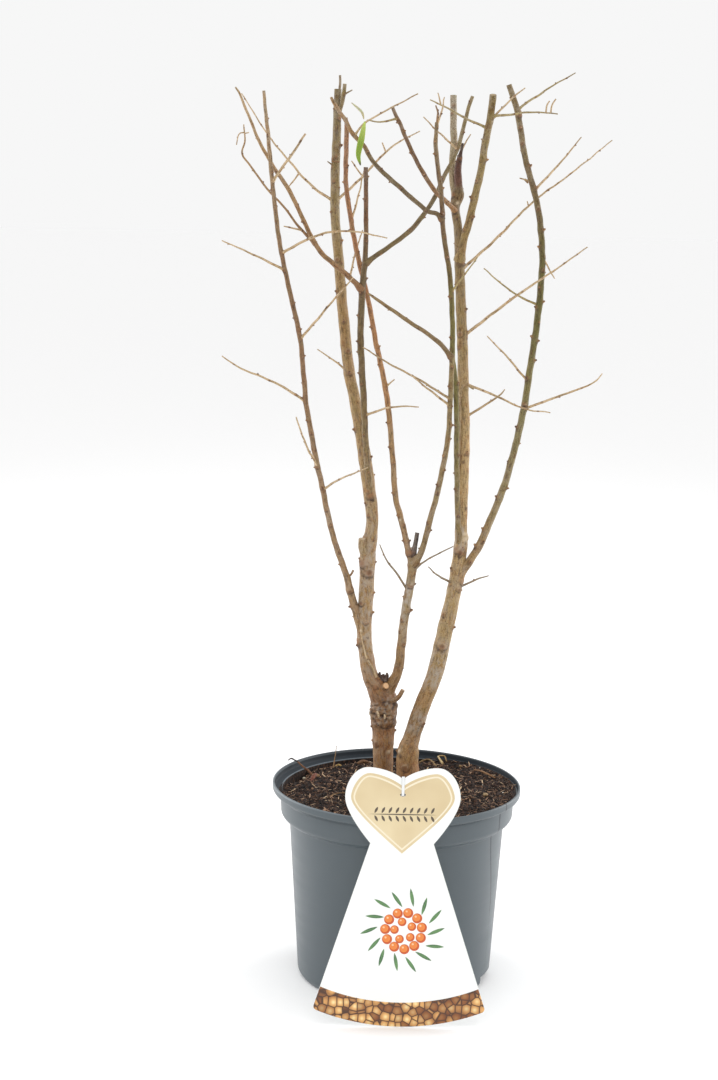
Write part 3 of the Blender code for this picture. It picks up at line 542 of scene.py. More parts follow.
# what lies on the soil: colour, then a route of across, depth, height and radius
finds = {
    "brokenRoot": ("#7d553a", [(-76, 42, 168.6, 0.9), (-80.7, 47.4, 172.3, 1.1), (-85.4, 49.5, 175.4, 0.9),
        (-91, 54.6, 179, 0.7)]),
    "rustClump": ("#7c4030", [(-78, 22, 167.6, 1.5), (-76.8, 27, 169.8, 2.3), (-75.4, 32, 171.6, 2.4),
        (-73.5, 36, 173, 1.3)]),
    "tanClump": ("#9c7650", [(-76, 33, 170.5, 1.2), (-73.2, 35, 171.8, 1.9), (-70.8, 37, 171, 1.1)]),
    "peelCurl": ("#2e2320", [(-90.6, 54.4, 179.2, 0.6), (-93.4, 55.5, 180, 0.7), (-96.6, 56.5, 181.4, 0.8),
        (-98.6, 57, 180.6, 0.6), (-100.2, 57.3, 179.2, 0.4)]),
    "straw": ("#b99c80", [(-58.5, 70, 166, 0.8), (-57.6, 70, 175, 0.6), (-56.4, 70, 183, 0.45),
        (-55.7, 70, 190.6, 0.35)]),
    "paleChip": ("#c3a76c", [(-56, 74.5, 169.8, 0.7), (-53.4, 73.8, 170.9, 1.2), (-50.4, 73, 170.3, 0.7)]),
    "paleSplint": ("#dccaa2", [(39.5, 89.4, 176.6, 0.8), (44, 80, 172, 1.1)]),
    "strawBend": ("#b39a6e", [(40.5, 90, 177, 0.6), (45.8, 92.5, 176, 0.7), (47.5, 86, 173, 0.6)]),
    "curvedTwig": ("#a08862", [(20, 85, 170.5, 0.6), (26.5, 87.5, 173.4, 0.7), (32, 84, 174.6, 0.7),
        (38, 75, 171.5, 0.5)]),
    "rustStraw": ("#97704a", [(72, 62, 172, 0.5), (77, 54, 173.8, 0.8), (83, 44, 174, 0.8),
        (90, 34, 173, 0.5)]),
    "leftStraw": ("#927450", [(-62, -30, 170.5, 0.5), (-55, -22, 172.2, 0.6), (-47, -17, 171.5, 0.5)]),
    "barkBit": ("#7a5a40", [(-36, 84, 169.5, 1.4), (-31, 86, 171.3, 1.8), (-25, 86, 170.5, 1.2)]),
}


chips = [(78.5, -18.6, 2.1, "#b9a283"), (-84.8, 51.0, 1.5, "#e4e0d6"), (-93.4, 41.8, 1.6, "#c2c5b0"),
    (-80.8, 60.8, 1.3, "#d9c2a4"), (60.0, 74.0, 1.5, "#8d7350"), (-18.0, -72.0, 1.6, "#a58b66")]


def makeSoil():
    draws = random.Random(soil["seed"])
    step = soil["reach"] / soil["rings"]
    collar, wall, base = pot["collarRadius"] - 2.1, pot["wallTop"] - 2.2, pot["baseRadius"] - 4.0
    under = pot["collarBottom"]
    top = [(step * i, soil["level"]) for i in range(soil["rings"] + 1)]
    row = soil["brimRow"]
    brim = [(soil["reach"] + out, row) for out in (0.9, 2.1, 3.2)] + [(soil["edge"], row)]
    below = [(soil["edge"], row - 1.1), (collar, row - 1.2), (collar - 0.8, under + 1.8),
             (collar - 7.0, under - 1.4), (wall - 0.3, under - 4.8), (base, 20.0), (base, 12.2), (0, 12.2)]
    bed = turned("peatBed", top + brim + below, soil["segments"])
    for vertex in bed.data.vertices:
        across, depth, height = (value / mm for value in vertex.co)
        if min(abs(height - soil["level"]), abs(height - row)) < 0.1:
            vertex.co.z = soilHeight(across, depth) * mm
    # damp sphagnum peat and composted bark: near black, rust and tan fibres, no gloss
    bed.data.materials.append(mottled("dampPeat", 0.92, 420.0, 5.0, [
        (0.35, soil["dark"]), (0.52, soil["middle"]), (0.66, soil["warm"])], relief=1.0))
    place(bed, "soil", "potting_soil")
    data = bmesh.new()
    data.from_mesh(bed.data)
    hidden = []
    for face in data.faces:
        spot = face.calc_center_median() / mm
        radius = spot.to_2d().length
        low = radius > soil["strewInside"] and spot.z < row + 0.1
        if face.normal.z < 0.3 or spot.z < under or radius > soil["strewReach"] or low:
            hidden.append(face)
    bmesh.ops.delete(data, geom=hidden, context="FACES")
    area = math.pi * (soil["edge"] * mm) ** 2
    strew = scatterTree()
    dark, middle, warm, pale = (soil[key] for key in ("dark", "middle", "warm", "pale"))
    lumps = lumpShapes("crumb", 5, draws, (0.7, 0.6, 0.45), (1.3, 1.1, 0.9))
    shreds = lumpShapes("shred", 5, draws, (1.0, 0.25, 0.12), (1.4, 0.5, 0.25))
    grains = lumpShapes("grain", 3, draws, (0.8, 0.8, 0.7), (1.1, 1.1, 1.0))
    # name, number, shapes, smallest and largest in millimetres, tumble, seed, shades and roughness
    bits = [("peatCrumbs", soil["crumbs"], lumps, 0.4, 1.8, 3.0, 1,
             [(0.25, dark), (0.62, middle), (0.8, warm), (0.93, pale)], 0.95),
            ("barkShreds", soil["shreds"], shreds, 1.2, 4.4, 0.5, 4,
             [(0.2, dark), (0.5, middle), (0.72, warm), (0.86, pale)], 0.85),
            ("peatFibres", soil["fibres"], fibreShapes(6, draws), 1.1, 5.6, 0.5, 2,
             [(0.2, dark), (0.45, warm), (0.74, pale), (0.88, soil["straw"])], 0.85),
            ("perliteGrains", soil["specks"], grains, 0.5, 1.2, 3.0, 3,
             [(0.0, "#b8b1a3"), (1.0, soil["perlite"])], 0.8)]
    for name, count, shapes, smallest, largest, tumble, seed, colours, roughness in bits:
        mesh = bpy.data.meshes.new(name)
        data.to_mesh(mesh)
        source = newObject(name, mesh)
        values = {"Count per m2": count / area, "Shapes": shapes, "Smallest": smallest * mm,
                  "Largest": largest * mm, "Tumble": tumble, "Seed": seed,
                  "Material": shadedBits(name + "Finish", colours, roughness)}
        runTree(source, strew, values)
        place(source, "soil")
    data.free()


# wood: routes are across, depth, height and radius in millimetres, as in the solids
wood = {
    "steps": {"Leader": 1.0, "Stems": 1.3, "Twigs": 1.5}, "sides": {"Leader": 46, "Stems": 20, "Twigs": 8},
    "spacing": {"Leader": 19.0, "Stems": 16.0, "Twigs": 12.0}, "budScale": 0.68, "budTurn": (140.0, 25.0),
    "wander": {"Leader": 0.35, "Stems": 0.45, "Twigs": 0.6}, "wanderLength": 10.0, "settle": 12.0,
    "flare": 0.5, "swell": 0.05, "barkDepth": 0.13, "film": "#aa9e90", "lichen": "#86763c", "pore": "#452c1d",
    # the darkest colour on the next line is dark bark on dark knobs and painted shade in grooves, under buds and
    # joints and in scars
    "nodeTint": "#845736", "crease": "#33221a", "paleWood": "#cdbb9f", "crust": 190.0, "budsFrom": 180.0,
    "knuckle": (240.0, 15.0, 4.2), "knuckleSpan": (215.0, 275.0), "knuckleBud": 2.2,
}


# bark colours by height on each stem; a stem that isn't named takes its twig colour
tones = {
    "left": {
        # the left leader's darker tones from 228 to 252 hold painted shade round the knuckle as well as its own
        # bark
        "leader": [(150, "#a2774c"), (215, "#a97d50"), (228, "#8c623a"), (240, "#835a35"), (252, "#93683f"),
            (262, "#9b7046"), (300, "#ab8d66"), (420, "#ab9068"), (520, "#a68c62"), (590, "#a3865b"),
            (680, "#96845c"), (740, "#887851"), (788, "#7d6e4e")],
        "farLeft": [(305, "#a88b68"), (450, "#9b8064"), (600, "#8b6a4c"), (700, "#9b836a"), (783, "#b29c80")],
        "topShoot": [(762, "#857449")],
        "second": [(436, "#95805a"), (560, "#6f5c36"), (640, "#6d5a3a"), (690, "#7c583e"), (722, "#6f5444")],
        "secondLeft": [(619, "#93704e"), (700, "#ab8c6a"), (786, "#c6ab86")],
        "hooked": [(658, "#987656"), (756, "#bda07a")],
        "secondRight": [(641, "#77663f"), (700, "#7d6e4e"), (783, "#948765")],
        "middle": [(250, "#96744e"), (300, "#a2835a"), (335, "#a79475"), (383, "#a08a66")],
        "deadStub": [(376, "#43363a")],
        "reddish": [(374, "#a8855f"), (440, "#a68a68"), (490, "#a98b67"), (520, "#b2885f"), (600, "#b4835c"),
            (700, "#a47656"), (763, "#9c7050")],
        "front": [(378, "#97815d"), (470, "#94815e"), (566, "#93835f")],
        "frontLeft": [(564, "#7f6a4c"), (616, "#9d8866")],
    },
    "right": {
        "leader": [(150, "#74492a"), (177, "#855934"), (187, "#a5774c"), (205, "#ac8758"), (226, "#987a54"),
            (238, "#9b7c57"), (252, "#a68458"), (300, "#a68f68"), (360, "#b0986f"), (400, "#bda27a"),
            (480, "#bfa57c"), (560, "#a38c63"), (640, "#8a754b"), (690, "#85704c"), (698, "#857354"),
            (704, "#786750"), (709, "#6d493c"), (720, "#66443b"), (733, "#583a31")],
        "uprightTop": [(692, "#a08e70"), (720, "#a3967e"), (784, "#a9a296")],
        "forkRight": [(642, "#9b8459"), (720, "#93804f"), (784, "#82703f")],
        "olive": [(388, "#95815a"), (470, "#84784a"), (520, "#76703c"), (560, "#706c2c"), (615, "#736b30"),
            (650, "#735f3b"), (690, "#745a3c"), (760, "#8c7854")],
        "diagonal": [(680, "#756448"), (727, "#77684a"), (745, "#a1815b"), (779, "#a8865f")],
        "forwardLeft": [(685, "#a9825a"), (725, "#7b5c3f"), (773, "#7f6244")],
        "arc": [(362, "#a88a62"), (440, "#91835c"), (500, "#87805b"), (550, "#7d7644"), (590, "#69662f"),
            (645, "#686230"), (700, "#766543"), (794, "#84734f")],
    },
    "twigs": {
        # the fold colour is a painted highlight along a raised ridge
        "straw": "#d4bfa5", "moss": "#b4a67c", "tan": "#bca689", "grey": "#948471", "shoulder": "#ab9678",
        "brown": "#96734e", "stub": "#4a322b", "fold": "#cdb798", "cutFace": "#dba468",
    },
}


# grey outer film by height: strongest on the low, smooth lengths
film = {
    "left": {
        "leader": [(150, 0.5), (215, 0.7), (225, 0.3), (262, 0.6), (285, 1.2), (330, 1.7), (390, 1.5),
            (440, 0.4), (600, 0.2), (700, 0.5), (790, 0.7)],
        "middle": [(250, 0.4), (300, 0.6), (325, 1.4), (338, 2.3), (358, 2.3), (366, 0.5)],
    },
    "right": {
        "leader": [(150, 0.2), (205, 0.3), (222, 0.6), (230, 1.7), (240, 1.5), (248, 0.3), (262, 0.5),
            (270, 1.8), (298, 1.6), (312, 0.4), (352, 1.0), (384, 0.4), (392, 2.2), (406, 2.2), (412, 0.3),
            (600, 0.3), (688, 0.5), (700, 0.1)],
    },
    "other": [(300, 0.8), (400, 0.8), (480, 0.4), (520, 0.2), (680, 0.2), (720, 0.5), (790, 0.9)],
}


leftShrub = {
    "name": "left", "node": "left_stems", "seed": 31,
    "leader": [(-12, 18, 150, 9.1), (-12, 18, 169, 9.1), (-13, 18, 197, 9.0), (-13, 18, 225, 9.9),
        (-13, 17, 245, 11.4), (-20.5, 15, 262, 9.0), (-26.5, 13, 274, 7.0), (-31, 11, 301, 6.2),
        (-32, 10, 326, 6.4), (-31, 10, 345, 6.5), (-30, 9, 380, 6.6), (-27, 9, 414, 5.3), (-30, 10, 441, 5.6),
        (-36.8, 19, 483, 5.4), (-44, 29, 518, 5.0), (-50, 35, 545, 4.9), (-56, 44, 594, 4.7),
        (-60, 50, 634, 4.4), (-64, 55, 674, 4.1), (-65, 59, 713, 3.9), (-64, 62, 753, 3.6),
        (-64, 64, 788, 3.2)],
    "stems": [
        ("farLeft", "leader", 305, 4.0, [(-43.5, 6, 345, 3.4), (-50, 2, 369, 2.8), (-62, -4, 405, 2.5),
            (-71, -12, 446, 2.4), (-79, -20, 483, 2.3), (-86, -28, 524, 2.2), (-91, -37, 576, 2.1),
            (-101, -45, 620, 2.0), (-109, -51, 659, 1.9), (-114, -56, 696, 1.8), (-118, -60, 734, 1.7),
            (-123, -64, 783, 1.3)]),
        ("topShoot", "leader", 762, 1.8, [(-59, 58, 780, 1.8), (-58, 56, 792, 1.7)]),
        ("second", "leader", 436, 3.1, [(-32, 3, 464, 2.8), (-34, -2, 486, 2.7), (-37, -10, 530, 2.8),
            (-40, -18, 580, 2.8), (-39, -22, 619, 2.8), (-37, -25, 659, 2.1), (-38, -29, 722, 1.9)]),
        ("secondLeft", "second", 619, 2.3, [(-53, -30, 632, 2.2), (-65, -35, 642, 2.1), (-77, -39, 654, 2.0),
            (-92, -42, 682, 1.8), (-102, -44, 702, 1.8), (-117, -46, 724, 1.6), (-129, -48, 746, 1.3),
            (-142, -50, 777, 1.0), (-147, -50, 786, 0.7)]),
        ("hooked", "secondLeft", 658, 1.6, [(-93, -36, 671, 1.1), (-106, -29, 687, 0.95), (-119, -22, 700, 0.9),
            (-136, -14, 721, 0.85), (-143, -12, 731, 0.8), (-141, -10, 742, 0.7), (-142, -10, 756, 0.5)]),
        ("secondRight", "second", 641, 2.1, [(-25, -20, 650, 2.1), (-12, -15, 659, 2.0), (2, -7, 670, 2.1),
            (14, 2, 685, 2.0), (22, 6, 698, 1.9), (29, 10, 714, 1.9), (36, 13, 728, 1.8), (42, 14, 744, 1.8),
            (49, 14, 773, 1.6), (52, 14, 783, 1.5)]),
        ("middle", "leader", 250, 5.4, [(-2, 12, 275, 4.3), (1, 8, 299, 4.0), (3, 4, 324, 3.8),
            (6, 0, 348, 3.8), (9, -2, 371, 3.9), (10, -3, 383, 3.9)]),
        ("deadStub", "middle", 376, 2.6, [(11, -1, 391, 2.1), (13, 1, 405, 1.9)]),
        ("reddish", "middle", 374, 2.6, [(3, 2, 399, 2.6), (-2, 3, 418, 2.6), (-7, 3, 439, 2.5),
            (-11, 2, 482, 2.4), (-15, -1, 517, 2.4), (-20, -4, 544, 2.3), (-27, -7, 574, 2.2),
            (-34, -9, 609, 2.1), (-44, -8, 648, 2.1), (-50, -2, 677, 2.1), (-55, 6, 710, 2.0),
            (-55, 12, 750, 2.1), (-56, 13, 763, 1.5)]),
        ("front", "middle", 378, 3.0, [(17, -6, 390, 2.6), (23.6, -11, 419, 2.5), (29.6, -18, 446, 2.4),
            (36.6, -28, 491, 2.3), (37.6, -34, 522, 2.2), (38, -39, 549, 2.2), (38, -41, 566, 2.1)]),
        ("frontLeft", "front", 564, 2.0, [(28, -42, 575.5, 2.0), (19, -41, 582.5, 1.8), (2, -37, 593, 1.7),
            (-23, -29, 609, 1.4), (-34, -27, 616, 0.8)]),
    ],
    "twigs": [
        ("leader", 250, 2.3, 2.0, "brown", [(-3, 3, 253), (3.5, 1, 262.5)]),
        ("leader", 250, 3.8, 1.6, "stub", [(-14.4, 12.8, 270.5), (-15, 12.8, 273.4)]),
        ("leader", 376, 4.0, 3.4, "shoulder", [(-34.5, 4, 390), (-35, 3, 398.5)]),
        ("leader", 541, 1.1, 0.5, "straw", [(-62, 38, 551), (-78, 42, 561)]),
        ("leader", 690, 1.3, 0.5, "straw", [(-86, 61, 704), (-106, 66, 725), (-124, 70, 746), (-149, 74, 783)]),
        ("leader", 690, 1.3, 0.5, "straw", [(-41, 62, 712), (-21, 66, 734), (-6, 69, 745), (9, 71, 753)]),
        ("leader", 720, 1.0, 0.5, "grey", [(-72, 56, 725)]),
        ("leader", 778, 1.2, 1.1, "grey", [(-62, 70, 792), (-62, 71, 800)]),
        ("topShoot", 783, 0.9, 0.5, "grey", [(-51, 54, 787)]),
        ("farLeft", 636, 1.2, 0.5, "straw", [(-128, -52, 647), (-157, -56, 660)]),
        ("farLeft", 650, 1.2, 0.5, "straw", [(-77, -58, 666), (-49, -64, 670), (-19, -68, 665)]),
        ("farLeft", 577, 1.2, 0.5, "straw", [(-62, -49, 613), (-47, -54, 631)]),
        ("farLeft", 523, 1.2, 0.5, "straw", [(-113, -30, 539), (-142, -31, 551), (-158, -32, 561)]),
        ("farLeft", 444, 1.1, 0.5, "straw", [(-55, -20, 455), (-32, -32, 467)]),
        ("farLeft", 465, 1.1, 0.6, "straw", [(-86, -40, 489), (-93, -60, 513)]),
        ("farLeft", 709, 1.3, 0.9, "straw", [(-98, -66, 734), (-88, -70, 749)]),
        ("second", 509, 1.1, 0.5, "straw", [(-12, -18, 518), (11, -26, 520)]),
        ("secondLeft", 629, 1.0, 0.5, "straw", [(-46, 1, 649), (-40, 6, 668)]),
        ("hooked", 669, 0.9, 0.5, "straw", [(-106, -40, 672)]),
        ("reddish", 533, 1.0, 0.5, "straw", [(-10, -8, 541)]),
        ("reddish", 676, 1.0, 0.5, "straw", [(-44, 5, 697), (-40, 10, 718)]),
        ("middle", 352, 1.1, 0.5, "grey", [(-7, -8, 373), (-15, -13, 385), (-20, -16, 397)]),
        ("middle", 370, 1.1, 0.5, "grey", [(21, -12, 383), (44, -24, 398)]),
        ("front", 522, 1.1, 0.5, "straw", [(18, -42, 537), (3, -50, 550)]),
        ("front", 528, 1.1, 0.5, "tan", [(11, -46, 545), (-23, -48, 563), (-38, -46, 572)]),
        ("secondRight", 738, 1.0, 0.5, "straw", [(22, 2, 753), (10, -4, 765)]),
    ],
    # marks that show from the front: height and side (-1 left, 0 front, 1 right), then radius
    "buds": {
        "leader": [(211, -1, 2.2), (220.5, 1, 2.8), (224, -1, 2.6), (301, -0.98, 2.6), (330.5, 1, 2.8),
            (349, 0.95, 2.2), (377, 1, 2.0), (379, -1, 2.4), (419, -0.6, 2.0), (468, 0.93, 2.4),
            (493, -0.93, 2.6), (541, 0, 2.6), (612, -0.9, 2.2), (656, 0.9, 2.2), (739, 1, 2.6)],
        "farLeft": [(337, -1, 2.4), (387, 0.2, 1.7), (412, 0.15, 1.7), (446, 0, 1.6), (464, -1, 1.5),
            (495, 0, 1.5), (526, -1, 1.6), (562, 1, 1.5), (585, 1, 1.5)],
        "second": [(511, 1, 1.8), (547, -1, 1.6), (574, -1, 1.8), (597, -1, 1.6)],
        "middle": [(304, 0.5, 2.0), (327, -0.6, 2.0), (335.6, 1, 3.0)],
        "reddish": [(397, 1, 2.0), (398, -1, 1.8), (410.5, 0.64, 1.8), (420, -0.74, 1.9), (440, -0.85, 1.8),
            (468, 0.33, 1.6), (481, -0.84, 1.8), (502, -1, 1.6), (535, 1, 1.9), (569, 1, 1.8), (586, -1, 1.7),
            (640, 1, 1.6), (668, -1, 1.7), (722, 0.8, 1.7)],
        "front": [(410.4, 1, 1.8), (417, -0.7, 1.8), (445, 0.13, 1.7), (451, -0.83, 1.9), (465.5, 0.73, 1.9),
            (478, -0.71, 1.8), (505.7, 1, 1.9), (540, -0.8, 1.7)],
    },
    # sunken eyes left by shed twigs
    "scars": {
        "leader": [(210.5, -0.67, 3.4), (340, -0.63, 3.4), (368.5, 0.28, 5.2), (323.5, 0.2, 2.8),
            (560, 0.3, 2.8), (640, -0.3, 2.6)],
        "farLeft": [(352, 0, 3.0)],
        "middle": [(358.7, 0.25, 2.7)],
    },
    # swellings: what they look like, then height, side, radius and rise
    "lumps": {
        "leader": [
            # grooves round the knuckle, darkened with painted shade
            ("groove", [(231.6, -0.84, 1.3, -0.8), (229.9, -0.73, 1.3, -0.8), (228.5, -0.6, 1.3, -0.8),
                (227.1, -0.43, 1.3, -0.8), (226.1, -0.24, 1.3, -0.8), (225.4, -0.05, 1.3, -0.8),
                (225.2, 0.14, 1.3, -0.8), (225.3, 0.33, 1.3, -0.8), (225.7, 0.52, 1.3, -0.8),
                (226.4, 0.66, 1.3, -0.8), (245.8, 0.77, 1.4, -1.0), (243.8, 0.88, 1.4, -1.0),
                (241.8, 0.97, 1.4, -1.0), (239.7, 1, 1.4, -1.0), (237.7, 1, 1.4, -1.0),
                (233.4, 0.99, 1.4, -1.0), (231.3, 0.93, 1.4, -1.0), (229.3, 0.82, 1.4, -1.0),
                (239.7, -0.02, 1.4, -1.0), (243.2, 0.09, 1.5, -1.2), (246.7, 0.06, 1.3, -0.8),
                (250.1, 0.14, 1.3, -0.8), (253, 0.11, 1.2, -0.6), (234, 0.14, 1.6, -1.0),
                (231.4, 0.09, 1.2, -0.5), (237.4, -0.79, 2.0, -1.6), (239.7, -0.92, 1.3, -0.8),
                (236, -0.21, 1.7, -1.6), (248, -0.92, 1.0, -0.6), (249, -0.68, 1.0, -0.6),
                (248.7, -0.43, 1.0, -0.6), (246, -0.32, 1.0, -0.6), (243.8, -0.35, 1.0, -0.6),
                (247.5, 0.5, 1.1, -0.7), (248, 0.75, 1.2, -0.8), (266.3, -0.78, 1.3, -0.3),
                (270, -0.7, 1.0, -0.3)]),
            ("gold", [(245.5, -0.7, 2.6, 1.3), (242, -0.3, 2.2, 1.0)]),
            ("callus", [(244.3, 0.39, 2.6, 0.6), (239.7, 0.39, 2.6, 0.6), (235, 0.42, 2.6, 0.5),
                (229.5, -0.3, 2.4, 0.7)]),
            ("plain", [(241, -1, 4.5, 2.0)]),
            ("callus", [(234.5, -1, 5.0, 2.2)]),
            ("plain", [(229, -1, 4.0, 1.2), (229, 1, 4.0, 1.0)]),
            ("dark", [(243.5, 1, 3.0, 1.4)]),
            ("bud", [(252, 0.55, 3.2, 1.0), (263.5, -0.05, 2.6, 0.5)]),
            ("pale", [(202, 0.56, 2.2, 0.4)]),
            ("plain", [(271.5, 0.57, 2.4, 0.8)]),
            ("pale", [(315.5, -0.52, 1.8, 0.8), (323.5, 0.2, 1.0, 0.5)]),
            ("dark", [(308, 0.44, 1.2, 0.2)]),
            ("bud", [(397.5, -0.94, 3.4, 1.2)]),
            ("plain", [(414.7, 0, 2.4, 0.5)]),
            ("bud", [(439.7, -0.17, 2.4, 0.6), (480, 0.23, 2.2, 0.6), (727.5, -0.7, 2.4, 0.8),
                (729, 0.1, 2.0, 0.6), (707.5, -0.3, 2.2, 0.5)]),
            ("plain", [(383, -0.5, 3.6, 0.7)]),
        ],
        "farLeft": [("plain", [(352, 0, 4.2, 1.4)])],
        "reddish": [("bud", [(386.5, 0.3, 4.0, 1.5)]), ("pale", [(416, -0.24, 1.4, 0.5)])],
        "second": [("plain", [(440, 0, 3.2, 0.8)])],
    },
    # loose spurs: colour, radius at the foot and the tip, route
    "spurs": [
        ("brown", 0.8, 1.0, [(-49, 2, 364), (-45.1, 2, 365.8), (-42.8, 2, 370.4)]),
        ("stub", 2.5, 0.8, [(-15.6, 12.4, 268), (-17.6, 12.2, 273), (-17, 12, 275.6)]),
        ("stub", 2.6, 0.8, [(-12.8, 12.6, 267.5), (-10.8, 12.4, 272.5), (-11.2, 12.2, 275)]),
        ("brown", 3.4, 3.2, [(-15.4, 11.6, 261), (-11.8, 6.3, 264.6)]),
        ("cutFace", 2.9, 3.0, [(-15.4, 11.6, 261), (-11.4, 5.8, 265)]),
        ("straw", 1.2, 1.0, [(-18.8, 8, 240.4), (-18.2, 6.6, 238.2), (-17.4, 7.2, 235.4)]),
        ("straw", 1.0, 0.8, [(-12.4, 7.4, 237.8), (-12.2, 5.9, 236), (-12.1, 6.8, 234)]),
        # the fold spur: a raised ridge on the left leader, its pale colour a painted highlight
        ("fold", 0.7, 1.2, [(-35.5, 5.5, 314.4), (-33.3, 4.9, 304), (-30.3, 4.7, 292.7), (-27.8, 5.2, 286.6),
            (-24.6, 6.1, 281.3), (-20.5, 7.8, 272)]),
        ("straw", 0.8, 0.6, [(-21, 65, 734.5), (-24, 59, 742.4)]),
        ("straw", 0.8, 0.5, [(-41.4, 10, 714.4), (-50.6, 12, 726.6)]),
        ("brown", 0.8, 0.6, [(-61.3, 54, 724.9), (-68.3, 54, 725.6)]),
        ("straw", 0.9, 0.5, [(-97.3, 63.5, 714), (-105.9, 65, 702)]),
        ("straw", 0.6, 0.45, [(-142, -10.5, 748), (-137.6, -11, 749)]),
        ("straw", 0.6, 0.45, [(-142, -10.5, 749), (-146, -11, 747.5), (-148.3, -11, 738.6)]),
    ],
}


